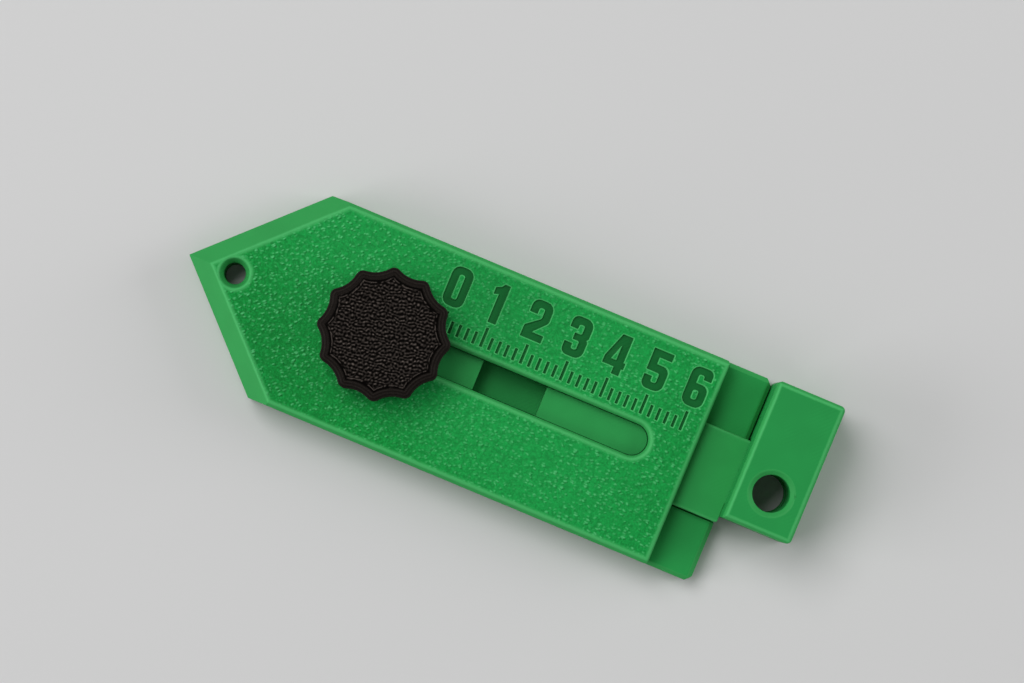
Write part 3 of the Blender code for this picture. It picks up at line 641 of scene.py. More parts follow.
def grained_green(name, near, far, glints=1.0, top=None):
    """Plastic printed on a grained plate: fine bumps, pale specks painted as glints with painted shadows,
    pits painted darker as shade, and painted light that pales it towards the square end.
    """
    material, shader, position, _ = new_finish(name, 0.5, gloss=GREEN_GLOSS)
    along, across, _ = split(position)
    fine = noise(position, GRAIN_SIZE, 2.5, 0.6)
    pits = noise(position, PIT_SIZE)
    cloud = noise(position, CLOUD_SIZE, 3.0)
    turning = ramp(along, *SPECK_TURNING)
    speck = specks(position, turning)
    # Painted shadow: a darker copy of the specks, moved aside, as the shadow each speck casts
    shade = specks(vector("SUBTRACT", position, SPECK_SHADE), turning)
    # Painted light: the grained top is blended into the paler far colour along the gauge
    drift = ramp(across * LIGHT_GRADIENT_SLANT + along, *LIGHT_GRADIENT_RISE) * ramp(along, *LIGHT_GRADIENT_FALL)
    hue = mix_colours(drift, opaque(near), opaque(far))
    for share, other in (
            (ramp(cloud, *BLOTCHES, 0.0, 0.08), opaque(near, 0.6)),
            # Painted shade: the pits are darkened in colour as well as bumped
            (ramp(pits, 0.36, 0.60, 0.30, 0.0), opaque(near, 0.45)),
            # Painted shadow beside each speck
            (shade * (0.55 * glints), opaque(near, 0.30)),
            (ramp(fine, 0.44, 0.68, 0.0, 0.55), opaque(far, 1.40)),
            # Painted glints on the specks
            (speck * (0.85 * glints), opaque(colours().glint_green))):
        hue = mix_colours(share, hue, other)
    set_inputs(shader, {"Base Color": edge_strip(position, hue, top) if top else hue})
    set_bump(shader, (pits, PIT_HEIGHT), (fine, GRAIN_HEIGHT), (speck, SPECK_HEIGHT))
    return material


def printed_green(name, hue, lines=1.0, top=None):
    """Smooth printed plastic: layer lines on upright faces and faint slanting lines on level ones."""
    material, shader, position, normal = new_finish(name, 0.45, gloss=GREEN_GLOSS)
    along, across, height = split(position)
    level = ramp(abs(split(normal)[2]), 0.80, 0.97)
    drift = noise(position, DRIFT_SIZE)
    patch = ramp(noise(position, PATCH_SIZE), 0.42, 0.68)
    raster = (along - across).wave(RASTER_SPACING, drift * 0.5) * level * patch
    layer = height.wave(LAYER_SPACING, drift * 0.5) * (1.0 - level)
    base = mix_colours(ramp(drift, *BLOTCHES), opaque(hue, 0.97), opaque(hue, 1.03))
    lined = mix_colours((raster + layer + 1.0) * (LINE_SHARE * lines), base, opaque(hue, 0.75))
    set_inputs(shader, {"Base Color": edge_strip(position, lined, top) if top else lined})
    scuff = noise(position, SCUFF_SIZE, 3.0)
    set_bump(shader, (raster, RASTER_HEIGHT * lines), (layer, LAYER_HEIGHT * lines), (scuff, SCUFF_HEIGHT))
    return material


def wandering_waves(position, spacing):
    """Waves of one spacing in several directions, whose sum looks like short wandering ridges."""
    total = None
    for number, (turn, strength) in enumerate(WORM_WAVES):
        if number % 3 == 0:
            moved = vector("ADD", position, (number * 50 * spacing,) * 3)
            drifts = split(noise(moved, WORM_DRIFT * spacing, 0.0, output="Color"), "Color")
        along = vector("DOT_PRODUCT", position, (math.cos(turn), math.sin(turn), 0), output=1)
        wave = along.wave(spacing, drifts[number % 3] * (2 * math.pi * WORM_SWAY)) * strength
        total = total + wave if total else wave
    return total


def ridged_black(name):
    """Black plastic with short wandering ridges where the worm_share attribute asks for them.

    The ridge attribute gives the paler tone of the raised lines and of the smooth band. The ridges, their
    crests and the raised lines are painted paler as highlights.
    """
    material, shader, position, normal = new_finish(name, 0.42, gloss=KNOB_GLOSS)
    share, ridge = (
        get(material.node_tree, "ShaderNodeAttribute", output="Fac", attribute_name=key)
        for key in ("worm_share", "ridge"))
    height = wandering_waves(position, WORM_SPACING * sizes().ridge_spacing)
    # Painted highlights: paler ridges and brighter crests
    worm = (ramp(height, *WORM_RISE) * WORM_TONE + ramp(height, *CREST_RISE) * (1 - WORM_TONE)) * share
    grain = noise(position, KNOB_GRAIN_SIZE)
    upright = ramp(abs(split(normal)[2]), 0.35, 0.1)
    layer = split(position)[2].wave(LAYER_SPACING) * upright
    glow = worm.most(ridge / CREST_TONE) * ramp(grain, 0.3, 0.7, 0.75, 1.15)
    tone = mix_colours(glow, opaque(colours().knob_black), opaque(colours().ridge_black, CREST_TONE))
    set_inputs(shader, {"Base Color": tone})
    set_bump(shader, (worm, WORM_HEIGHT), (grain, KNOB_GRAIN_HEIGHT), (layer, LAYER_HEIGHT))
    return material


def worn_metal(name, hue, roughness, streak):
    """Plated or turned metal with fine uneven marks."""
    material, shader, position, _ = new_finish(name, roughness, 1.0)
    cloud = noise(position, METAL_CLOUD_SIZE, 3.0)
    mark = get(material.node_tree, "ShaderNodeMapping", {"Vector": position, "Scale": (1, 1, streak)})
    lines = noise(mark, METAL_LINE_SIZE)
    set_inputs(shader, {
        "Base Color": mix_colours(ramp(cloud, *BLOTCHES), opaque(hue, 0.82), opaque(hue, 1.1)),
        "Roughness": ramp(lines, 0.3, 0.7, roughness - 0.06, roughness + 0.1)})
    set_bump(shader, (lines, METAL_LINE_HEIGHT))
    return material


def finish(name):
    """A finish of the gauge, made when it is first asked for."""
    if name in bpy.data.materials:
        return bpy.data.materials[name]
    hue = colours()
    make, *values = {
        "grained green": (grained_green, hue.grain_green, hue.grain_green_end, 1.0, "cover"),
        "grained green underside": (grained_green, hue.grain_green_end, hue.grain_green_end, 0.5),
        "smooth green": (printed_green, hue.smooth_green),
        "bar green": (printed_green, hue.bar_green, 0.6, "bar"),
        # The slope finishes use the paler slope colour as painted sheen
        "bar rim green": (printed_green, hue.rim_green, 0.6, "bar"),
        "head green": (printed_green, hue.smooth_green, 1.0, "head"),
        "head rim green": (printed_green, hue.rim_green, 0.6, "head"),
        "cover rim green": (printed_green, hue.rim_green, 0.6, "cover"),
        "rim green": (printed_green, hue.rim_green, 0.6),
        # Painted highlight on rounded edges and on the rims of the numerals and marks
        "worn green": (printed_green, hue.worn_green, 0.0),
        "recess green": (printed_green, hue.recess_green, 1.6),
        # Painted shade on the slot's walls
        "shaded green": (printed_green, [channel * SLOT_SHADE for channel in hue.recess_green]),
        "ridged black": (ridged_black,),
        "zinc plate": (worn_metal, hue.zinc, 0.3, 0.3),
        "turned brass": (worn_metal, hue.brass, 0.33, 8.0),
    }[name]
    return make(name, *values)


# Body

def numeral_contours(text):
    """Corners of a numeral's outlines, each with its rounding: ink anticlockwise, holes clockwise."""
    wide, tall, pen = NUMERAL_WIDTH / MM, NUMERAL_HEIGHT / MM, STROKE / MM
    bold, soft, bar = 1.9, 0.5, 0.9 * STROKE / MM
    low, high, middle = bar, tall - bar, tall / 2
    contours = {
        "0": [
            [(0, 0, bold), (wide, 0, bold), (wide, tall, bold), (0, tall, bold)],
            [(pen, low, soft), (pen, high, soft), (wide - pen, high, soft), (wide - pen, low, soft)]],
        "1": [
            [(1.9, 0, 0.1), (3.8, 0, 0.1), (3.8, tall, 0.1), (2.5, tall, 0.1), (1.9, tall - 0.8, 0.4),
             (0.7, tall - 1.3, 0.1), (0.7, tall - 2.9, 0.1), (1.9, tall - 2.5, 0.1)]],
        "2": [
            [(0, 0, 0.1), (wide, 0, 0.1), (wide, bar, 0.1), (2.1, bar, 0.2), (wide, middle + 0.2, 1.1),
             (wide, tall, bold), (0, tall, bold), (0, tall - 3.3, 0.1), (pen, tall - 3.3, 0.1),
             (pen, high, soft), (wide - pen, high, soft), (wide - pen, middle + 0.6, 0.8), (0, 2.7, 0.5)]],
        "3": [
            [(0, 0, bold), (wide, 0, bold), (wide, middle - 0.4, 0.5), (wide - 0.5, middle, 0.3),
             (wide, middle + 0.4, 0.5), (wide, tall, bold), (0, tall, bold), (0, tall - 2.9, 0.1),
             (pen, tall - 2.9, 0.1), (pen, high, soft), (wide - pen, high, soft),
             (wide - pen, middle + 0.75, 0.4), (1.6, middle + 0.75, 0.1), (1.6, middle - 0.75, 0.1),
             (wide - pen, middle - 0.75, 0.4), (wide - pen, low, soft), (pen, low, soft), (pen, 2.9, 0.1),
             (0, 2.9, 0.1)]],
        "4": [
            [(2.8, 0, 0.1), (4.6, 0, 0.1), (4.6, 1.7, 0.1), (wide, 1.7, 0.1), (wide, 3.2, 0.1),
             (4.6, 3.2, 0.1), (4.6, tall, 0.1), (2.1, tall, 0.1), (-0.1, 3.4, 0.1), (-0.1, 1.7, 0.1),
             (2.8, 1.7, 0.1)],
            [(1.45, 3.2, 0.05), (2.8, tall - 2.3, 0.05), (2.8, 3.2, 0.05)]],
        "5": [
            [(0, 0, bold), (wide, 0, bold), (wide, 6.0, bold), (pen, 6.0, 0.3), (pen, high, 0.1),
             (wide - 0.2, high, 0.1), (wide - 0.2, tall, 0.1), (0, tall, 0.1), (0, 4.2, 0.1),
             (wide - pen, 4.2, soft), (wide - pen, low, soft), (pen, low, soft), (pen, 3.0, 0.1),
             (0, 3.0, 0.1)]],
        "6": [
            [(0, 0, bold), (wide, 0, bold), (wide, 5.5, bold), (pen, 5.5, 0.3), (pen, high, soft),
             (wide - pen, high, soft), (wide - pen, tall - 2.6, 0.1), (wide, tall - 2.6, 0.1),
             (wide, tall, bold), (0, tall, bold)],
            [(pen, low, soft), (pen, 4.0, soft), (wide - pen, 4.0, soft), (wide - pen, low, soft)]],
    }[text]
    return [[tuple(value * MM for value in corner) for corner in contour] for contour in contours]


def grown(contour, distance):
    """The contour's corners moved outwards by a distance, their rounding kept concentric."""
    corners = [Vector(corner[:2]) for corner in contour]
    moved = []
    for index, corner in enumerate(corners):
        before = (corner - corners[index - 1]).normalized()
        after = (corners[(index + 1) % len(corners)] - corner).normalized()
        first, second = Vector((before.y, -before.x)), Vector((after.y, -after.x))
        outward = (first + second) / (1 + first.dot(second))
        bulge = 1 if before.cross(after) > 0 else -1
        radius = max(contour[index][2] + bulge * distance, LEAST_RADIUS)
        moved.append((*(corner + outward * distance), radius))
    return moved


def filleted(contour):
    """Points along a contour whose corners are rounded, equally many for every corner."""
    points = []
    count = len(contour)
    for index, (x, y, radius) in enumerate(contour):
        corner = Vector((x, y))
        back = Vector(contour[index - 1][:2]) - corner
        ahead = Vector(contour[(index + 1) % count][:2]) - corner
        room = 0.49 * min(back.length, ahead.length)
        back.normalize()
        ahead.normalize()
        half = back.angle(ahead) / 2
        radius = min(radius, room * math.tan(half))
        centre = corner + (back + ahead).normalized() * radius / math.sin(half)
        start = corner + back * radius / math.tan(half) - centre
        sweep = (math.pi - 2 * half) * (1 if back.cross(ahead) < 0 else -1)
        for step in range(CORNER_STEPS):
            turn = Matrix.Rotation(sweep * step / (CORNER_STEPS - 1), 2)
            points.append(centre + turn @ start)
    return points


def is_inside(point, outlines):
    """Whether a point lies inside an odd number of outlines."""
    crossings = 0
    for outline in outlines:
        for first, second in zip(outline, outline[1:] + outline[:1]):
            if (first.y > point.y) != (second.y > point.y):
                share = (point.y - first.y) / (second.y - first.y)
                crossings += point.x < first.x + share * (second.x - first.x)
    return crossings % 2 == 1


def add_cap(bm, ring):
    """Closes a ring of level outlines with triangles and leaves its holes open."""
    corners = [vertex for outline in ring for vertex in outline]
    edges = []
    for outline in ring:
        first = len(edges)
        edges += [(first + index, first + (index + 1) % len(outline)) for index in range(len(outline))]
    outlines = [[vertex.co.xy / MM for vertex in outline] for outline in ring]
    flat = [point for outline in outlines for point in outline]
    points, _, triangles, origins = delaunay_2d_cdt(flat, edges, [], 0, 1e-7)[:4]
    for triangle in triangles:
        if is_inside(sum((points[index] for index in triangle), Vector((0, 0))) / 3, outlines):
            bm.faces.new([corners[origins[index][0]] for index in triangle])


def add_cutter(bm, contours, spot, levels):
    """Adds a closed prism with the contours, one ring at each level, grown by the distance given with it."""
    rings = []
    for height, growth in levels:
        outlines = [filleted(grown(contour, growth)) for contour in contours]
        rings.append([
            [bm.verts.new((spot.x + point.x, spot.y + point.y, height)) for point in outline]
            for outline in outlines])
    for lower, upper in zip(rings, rings[1:]):
        for ring, following in zip(lower, upper):
            for index in range(len(ring)):
                after = (index + 1) % len(ring)
                bm.faces.new((ring[index], ring[after], following[after], following[index]))
    for ring in (rings[0], rings[-1]):
        add_cap(bm, ring)


def numeral_cutter():
    """All numerals of the scale as one cutter with sloping rims."""
    size = sizes()
    zoom = size.numeral_height / NUMERAL_HEIGHT
    levels = (
        (BODY_TOP + CUT_OVER, size.numeral_rim + CUT_OVER), (BODY_TOP - size.numeral_rim, 0),
        (BODY_TOP - size.numeral_depth, 0))
    mesh = bpy.data.meshes.new("numeral_cutter")
    with drawn(mesh) as bm:
        for number in range(size.scale_count):
            contours = [
                [((x - NUMERAL_WIDTH / 2) * zoom, y * zoom, radius * zoom) for x, y, radius in contour]
                for contour in numeral_contours(str(number))]
            along = COVER_END - size.scale_setback - (size.scale_count - 1 - number) * size.scale_step
            add_cutter(bm, contours, Vector((along, size.numeral_foot)), levels)
    return mesh


def mark_boxes():
    """Corners of the scale's marks, as they are cut in the cover's solid: one box round each floor."""
    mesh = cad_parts["cover_plate"].data
    centres, normals = face_values(mesh)
    floors = (normals[:, 2] > NEAR_LEVEL) & (centres[:, 2] > MARK_LOW) & (centres[:, 2] < MARK_HIGH)
    boxes = []
    for index in np.flatnonzero(floors):
        corners = np.array([mesh.vertices[number].co.xy for number in mesh.polygons[index].vertices])
        boxes.append((*corners.min(axis=0), *corners.max(axis=0)))
    return np.unique(np.round(boxes, 8), axis=0).tolist()


def mark_cutter():
    """Sloping rims round the scale's marks as one cutter."""
    rim = sizes().numeral_rim
    levels = ((BODY_TOP + CUT_OVER, rim + CUT_OVER), (BODY_TOP - rim - MARK_UNDERCUT, -MARK_UNDERCUT))
    mesh = bpy.data.meshes.new("mark_cutter")
    with drawn(mesh) as bm:
        for left, low, right, high in mark_boxes():
            corners = ((left, low), (right, low), (right, high), (left, high))
            add_cutter(bm, [[(*corner, LEAST_RADIUS) for corner in corners]], Vector((0, 0)), levels)
    return mesh


def cut_away(mesh, name, cutter_mesh):
    """The mesh with a cutter taken out of it."""
    cutter = linked("cutter", cutter_mesh)
    result = baked(mesh, name, lambda worker: add_modifier(
        worker, "Cut", "BOOLEAN", operation="DIFFERENCE", solver="EXACT", object=cutter))
    bpy.data.objects.remove(cutter)
    return result


def lean_slot_walls(mesh):
    """Moves the foot of the slot's walls a little into the slot, so that they and their painted shade show
    from above.
    """
    start, end, _ = top_outline("cover")[1][0]
    for vertex in mesh.vertices:
        foot = Vector((min(max(vertex.co.x, start), end), 0, vertex.co.z))
        away = vertex.co - foot
        if away.length < SLOT_REACH and COVER_LOW.z < vertex.co.z < BODY_TOP - SLOT_LEAN_DEPTH:
            vertex.co -= away.normalized() * SLOT_LEAN


def make_cover():
    """The cover with rounded edges and recessed numerals beside the scale's marks."""
    mesh = welded_copy("cover_plate")
    for vertex in mesh.vertices:
        if abs(vertex.co.z - COVER_LOW.z) < NEARLY:
            vertex.co.z = BASE_TOP + sizes().seam_gap
    lean_slot_walls(mesh)
    mesh = cut_away(mesh, "cover_numbered", numeral_cutter())
    mesh = join_flats(cut_away(mesh, "cover_marked", mark_cutter()))
    zones = (SCALE_ZONE, SCALE_SOFTNESS), (POINT_ZONE, POINT_SOFTNESS)
    mesh = round_edges(mesh, "cover_rounded", edge_softness(BODY_TOP, zones))
    mesh = even_normals(mesh, "cover_with_scale")
    centres, normals = face_values(mesh)
    rise, height = normals[:, 2], centres[:, 2]
    low, high = np.array(SCALE_ZONE).T
    in_scale = np.all((centres > low) & (centres < high), axis=1)
    top = (rise > LEVEL) & (np.abs(height - BODY_TOP) < 2 * NEARLY)
    floors = (rise > NEAR_LEVEL) & in_scale & ~top
    # Painted sheen: slopes near the top get the paler slope colour
    slopes = (rise > UPRIGHT) & (height > BODY_TOP - SLOPE_DEPTH) & ~top & ~floors
    inside = (np.abs(centres[:, 1]) < SLOT_REACH) & (centres[:, 0] < COVER_END - SLOT_END_MARGIN)
    # Painted shade: the slot's walls are painted dark green as the shade inside the slot
    walls = (np.abs(rise) < UPRIGHT) & inside
    names = "smooth green", "grained green", "cover rim green", "recess green", "worn green", "shaded green"
    # Painted highlight: the rims round the numerals and marks get the pale edge colour
    paint_faces(mesh, names, np.select([slopes & in_scale, floors, slopes, top, walls], [4, 3, 2, 1, 5]))
    return place(mesh, "cover_with_scale", "gauge_body", "textured_green_plastic", "cover_plate")


def make_base():
    """The base with rounded edges, a grained underside and a channel that fits the bar closely."""
    mesh = clean_copy("base_plate")
    for vertex in mesh.vertices:
        if abs(vertex.co.y - CHANNEL_WALL) < NEARLY:
            vertex.co.y -= CHANNEL_FIT
    mesh = round_edges(split_at(mesh, COVER_END), "base_rounded", edge_softness(
        BASE_TOP, ((CHANNEL_EDGE, CHANNEL_SOFTNESS),), COVER_END))
    mesh = even_normals(mesh, "base_with_ledge")
    centres, normals = face_values(mesh)
    underside = (normals[:, 2] < -LEVEL) & (centres[:, 2] < 2 * NEARLY)
    # Painted sheen: slopes get the paler slope colour
    slopes = (normals[:, 2] > UPRIGHT) & (normals[:, 2] < SLOPING)
    names = "smooth green", "grained green underside", "rim green"
    paint_faces(mesh, names, np.select([slopes, underside], [2, 1]))
    return place(mesh, "base_with_ledge", "gauge_body", "smooth_green_plastic", "base_plate")


def make_printed(mesh, name, node, top, main, rim):
    """A printed piece of the slider with rounded edges, and its slopes in the paler colour painted as sheen.
    """
    mesh = even_normals(round_edges(mesh, f"{name}_rounded", edge_softness(top)), name)
    rise = face_values(mesh)[1][:, 2]
    paint_faces(mesh, (main, rim), (rise > UPRIGHT) & (rise < LEVEL))
    return place(mesh, name, "slider", "smooth_green_plastic", node)


def make_bar():
    """The sliding bar, with its shoulder against the end block."""
    mesh = clean_copy("slider_bar")
    for vertex in mesh.vertices:
        if HEAD_LOW.x - SHOULDER_REACH < vertex.co.x < HEAD_LOW.x:
            vertex.co.x = min(vertex.co.x + GAP, HEAD_LOW.x - NEARLY)
    return make_printed(mesh, "sliding_bar", "slider_bar", BAR_HIGH.z, "bar green", "bar rim green")


def make_head():
    """The offset end block."""
    return make_printed(
        clean_copy("head_block"), "offset_head", "head_block", HEAD_HIGH.z, "head green", "head rim green")


# Round shapes

def circle(angles, radius):
    """Points of a circle, one at each angle."""
    return radius * np.column_stack([np.cos(angles), np.sin(angles)])


def hexagon(angles, flats):
    """Points of a hexagon of a width over its flats, one at each angle."""
    from_flat = (angles + math.pi / 6) % (math.pi / 3) - math.pi / 6
    return circle(angles, (flats / 2 / np.cos(from_flat))[:, None])


def skin(name, profile, tips=None):
    """A closed mesh through rings of equally many points, each with its height.

    The first and the last ring are closed by fans to the tips, or else by flat faces.
    """
    points = [np.column_stack([ring, np.full(len(ring), height)]) for ring, height in profile]
    count = len(points[0])
    around = np.arange(count)
    after = np.roll(around, -1)
    last = count * (len(points) - 1)
    faces = []
    for low in range(0, last, count):
        high = low + count
        faces += np.column_stack([low + around, low + after, high + after, high + around]).tolist()
    if tips:
        points.append(tips)
        for start, tip in ((0, last + count), (last, last + count + 1)):
            faces += np.column_stack([start + around, start + after, np.full(count, tip)]).tolist()
    else:
        faces += [around.tolist(), (last + around).tolist()]
    mesh = bpy.data.meshes.new(name)
    mesh.from_pydata(np.concatenate(points).tolist(), [], faces)
    with edited(mesh) as bm:
        bmesh.ops.recalc_face_normals(bm, faces=bm.faces)
    return mesh


# Knob

def knob_outline(inset):
    """Points of the knob's outline, set in by a distance."""
    tip_radius = max((Vector(v.co[:2]) - KNOB_AXIS.xy).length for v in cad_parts["knob"].data.vertices)
    half = math.pi / LOBES
    reach = tip_radius - TIP_ROUND
    tip_x, tip_y = reach * math.cos(half), reach * math.sin(half)
    hollow = tip_radius - SCALLOP_DEPTH
    rise = hollow - tip_x
    scallop = (rise ** 2 + tip_y ** 2 - TIP_ROUND ** 2) / (TIP_ROUND - rise) / 2
    contact = math.atan2(tip_y, hollow + scallop - tip_x)
    steps = np.arange(LOBE_STEPS // 2) / (LOBE_STEPS // 2)
    lobe = np.concatenate([
        (hollow + scallop, 0) - circle(contact * (1 - 2 * steps), scallop + inset),
        (tip_x, tip_y) + circle(2 * (half + contact) * steps - contact, TIP_ROUND - inset)])
    rings = []
    for number in range(LOBES):
        turn = LOBE_TURN + (2 * number - 1) * half
        rings.append(lobe @ np.array([[math.cos(turn), math.sin(turn)], [-math.sin(turn), math.cos(turn)]]))
    return np.concatenate(rings)


def knob_mesh():
    """The knob as one skin: hollow underside, scalloped wall, sloping band and a finely divided top."""
    outer = knob_outline(0)
    angles = np.arctan2(outer[:, 1], outer[:, 0])
    foot, top = KNOB_LOW.z, KNOB_HIGH.z
    bore = circle(angles, BOLT_RADIUS + GAP)
    nut = hexagon(angles, NUT_HIGH.x - NUT_LOW.x + 2 * GAP)
    recess = circle(angles, (WASHER_HIGH.x - WASHER_LOW.x) / 2 + GAP)
    recess_roof, bore_roof = WASHER_HIGH.z + GAP, BOLT_HIGH.z + GAP
    profile = [
        (bore, bore_roof), (bore, NUT_HIGH.z + GAP), (nut, NUT_HIGH.z + GAP), (nut, recess_roof),
        (recess, recess_roof), (recess, foot)]
    profile += [(knob_outline(inset * MM), foot + rise * MM) for inset, rise in FOOT_PROFILE]
    band_start = len(profile)
    profile += [(knob_outline(inset * MM), top + drop * MM) for inset, drop in BAND_PROFILE]
    inner = profile[-1][0]
    shares = np.arange(1, TOP_RINGS) / TOP_RINGS
    profile += [(inner * (1 - share), top + TOP_LEVEL) for share in shares]
    mesh = skin("knob_shape", profile, [(0, 0, bore_roof), (0, 0, top + TOP_LEVEL)])
    mesh.transform(Matrix.Translation(KNOB_AXIS))

    reach = np.hypot(*inner.T)
    under = np.full(band_start * len(inner), OFF_BAND)
    band = [np.full(len(inner), (inset - BAND_PROFILE[-1][0]) * MM - NEARLY) for inset, _ in BAND_PROFILE]
    top_rings = [reach * share for share in shares]
    distance = np.concatenate([under, *band, *top_rings, [OFF_BAND, reach.mean()]]).astype(np.float32)
    mesh.attributes.new("rim_distance", "FLOAT", "POINT").data.foreach_set("value", distance)
    return mesh


def new_group(name, *sockets):
    """A Geometry Nodes group with named inputs of the given kinds, and the wires from them."""
    tree = bpy.data.node_groups.new(name, "GeometryNodeTree")
    for label, kind in (("Geometry", "Geometry"), *sockets, ("Finish", "Material")):
        tree.interface.new_socket(label, in_out="INPUT", socket_type=f"NodeSocket{kind}")
    tree.interface.new_socket("Geometry", in_out="OUTPUT", socket_type="NodeSocketGeometry")
    given = add_node(tree, "NodeGroupInput")
    return tree, {socket.name: Wire(socket) for socket in given.outputs}


def end_group(tree, geometry, material):
    """Ends a group with plain geometry in its finish."""
    whole = get(tree, "GeometryNodeRealizeInstances", {"Geometry": geometry})
    painted = get(tree, "GeometryNodeSetMaterial", {"Geometry": whole, "Material": material})
    add_node(tree, "NodeGroupOutput", {"Geometry": painted})
    return tree


def use_tree(worker, tree, values):
    """Puts a node tree on an object and sets its inputs by name."""
    modifier = add_modifier(worker, tree.name, "NODES", node_group=tree)
    for item in tree.interface.items_tree:
        if item.item_type == "SOCKET" and item.in_out == "INPUT" and item.name in values:
            modifier[item.identifier] = values[item.name]


def ridge_tree():
    """Geometry Nodes that raise a few broken lines that follow the knob's rim, and say where finer ridges go.

    The attribute rim_distance says how far inside the band a point lies, and is negative off the top.
    """
    tree, given = new_group("Rim ridges", *(
        (name, "Float") for name in ("Ridge Height", "Ridge Spacing", "Rim Lines", "Band Tone")))
    spacing = given["Ridge Spacing"]
    distance = get(tree, "GeometryNodeInputNamedAttribute", {"Name": "rim_distance"}, data_type="FLOAT")
    unit = get(
        tree, "ShaderNodeVectorMath", {0: get(tree, "GeometryNodeInputPosition"), "Scale": 1.0 / spacing},
        operation="SCALE")
    waver, gaps = noise(unit, WAVER_SIZE, 1.0), noise(unit, LINE_GAP_SIZE, 0.0)
    line = ramp((distance / spacing + waver * WAVER_SHARE).wave(1), 0.2, 0.9) * ramp(gaps, 0.40, 0.52)

    inward = ramp(distance / (spacing * given["Rim Lines"]), 0.5, 1.0)
    textured = distance.above(0.0)
    raised = line * (1.0 - inward) * textured
    step = 1.0 - (distance / spacing).wave(1) * 0.5
    # Painted highlight: the raised lines are painted paler
    tone = raised + given["Band Tone"] * step * (1.0 - textured)
    geometry = given["Geometry"]
    for name, value in (("ridge", tone), ("worm_share", inward * textured)):
        geometry = get(
            tree, "GeometryNodeStoreNamedAttribute", {"Geometry": geometry, "Name": name, "Value": value},
            data_type="FLOAT", domain="POINT")
    lift = get(tree, "ShaderNodeCombineXYZ", {"Z": raised * given["Ridge Height"]})
    moved = get(tree, "GeometryNodeSetPosition", {"Geometry": geometry, "Offset": lift})
    return end_group(tree, moved, given["Finish"])


def make_knob():
    """The scalloped knob with its finely ridged top."""
    values = {
        "Ridge Height": sizes().ridge_height, "Ridge Spacing": sizes().ridge_spacing, "Rim Lines": RIM_LINES,
        "Band Tone": BAND_TONE, "Finish": finish("ridged black")}
    tree = ridge_tree()
    mesh = baked(knob_mesh(), "scalloped_knob", lambda worker: use_tree(worker, tree, values))
    mesh.shade_smooth()
    mesh.set_sharp_from_angle(angle=KNOB_CREASE)
    return place(mesh, "scalloped_knob", "clamp_knob", "black_plastic", "knob")


# Fasteners

def screw_mesh(node):
    """A countersunk socket screw with ringed thread, about its own axis, sized from a solid."""
    low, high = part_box(node)
    turns = 2 * math.pi * np.arange(SCREW_STEPS) / SCREW_STEPS
    head_radius = (high.x - low.x) / 2
    crest, root = circle(turns, SCREW_RADIUS), circle(turns, SCREW_RADIUS - THREAD_DEPTH)
    socket = (circle, 0.05, 1.35), (hexagon, 1.9, 1.1), (hexagon, 2.0, 0.12), (circle, 1.2, 0.0)
    profile = [(shape(turns, size * MM), rise * MM) for shape, size, rise in socket]
    profile += [(circle(turns, head_radius - inset * MM), rise * MM) for inset, rise in SCREW_HEAD_EDGE]
    profile.append((crest, SCREW_HEAD_HEIGHT))
    thread = SCREW_HEAD_HEIGHT + THREAD_PITCH
    while low.z + thread < high.z - THREAD_PITCH:
        profile += [(crest, thread - THREAD_PITCH / 4), (root, thread), (root, thread + THREAD_PITCH / 2)]
        thread += THREAD_PITCH
    profile += [
        (crest, thread - THREAD_PITCH / 4), (circle(turns, SCREW_RADIUS - SCREW_TIP_TAPER), high.z - low.z)]
    mesh = skin("screw_shape", [(ring, low.z + rise) for ring, rise in profile])
    mesh.shade_smooth()
    mesh.set_sharp_from_angle(angle=SCREW_CREASE)
    return mesh


def fastener_tree():
    """Geometry Nodes that set a fastener at the corners of a rectangle, and once more where asked."""
    tree, given = new_group(
        "Fastener pattern", ("Length", "Float"), ("Width", "Float"), ("Along", "Int"), ("Across", "Int"),
        ("Centre", "Vector"), ("Lone Place", "Vector"), ("Lone Fastener", "Bool"))
    grid = get(tree, "GeometryNodeMeshGrid", {
        "Size X": given["Length"], "Size Y": given["Width"],
        "Vertices X": given["Along"], "Vertices Y": given["Across"]})
    centred = get(tree, "GeometryNodeTransform", {"Geometry": grid, "Translation": given["Centre"]})
    lone = get(tree, "GeometryNodePoints", {"Count": 1, "Position": given["Lone Place"]})
    chosen = get(
        tree, "GeometryNodeSwitch", {"Switch": given["Lone Fastener"], "True": lone}, input_type="GEOMETRY")
    places = add_node(tree, "GeometryNodeJoinGeometry")
    for spots in (centred, chosen):
        set_inputs(places, {0: spots})
    spread = get(tree, "GeometryNodeInstanceOnPoints", {
        "Points": Wire(places.outputs["Geometry"]), "Instance": given["Geometry"]})
    return end_group(tree, spread, given["Finish"])


def centre_of(node):
    low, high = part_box(node)
    return Vector(((low.x + high.x) / 2, (low.y + high.y) / 2, 0))


def make_screws(tree, name, nodes, body, along, across, lone=()):
    """A group of like screws in place of their solids, in rows, with a lone one added where one is named."""
    spots = [centre_of(node) for node in nodes]
    low = Vector((min(spot.x for spot in spots), min(spot.y for spot in spots), 0))
    high = Vector((max(spot.x for spot in spots), max(spot.y for spot in spots), 0))
    values = {
        "Length": high.x - low.x, "Width": high.y - low.y, "Along": along, "Across": across,
        "Centre": (low + high) / 2, "Lone Place": centre_of(lone[0]) if lone else (0, 0, 0),
        "Lone Fastener": bool(lone), "Finish": finish("zinc plate")}
    mesh = baked(screw_mesh(nodes[0]), name, lambda worker: use_tree(worker, tree, values))
    return place(mesh, name, body, "zinc_plated_steel", *nodes, *lone)


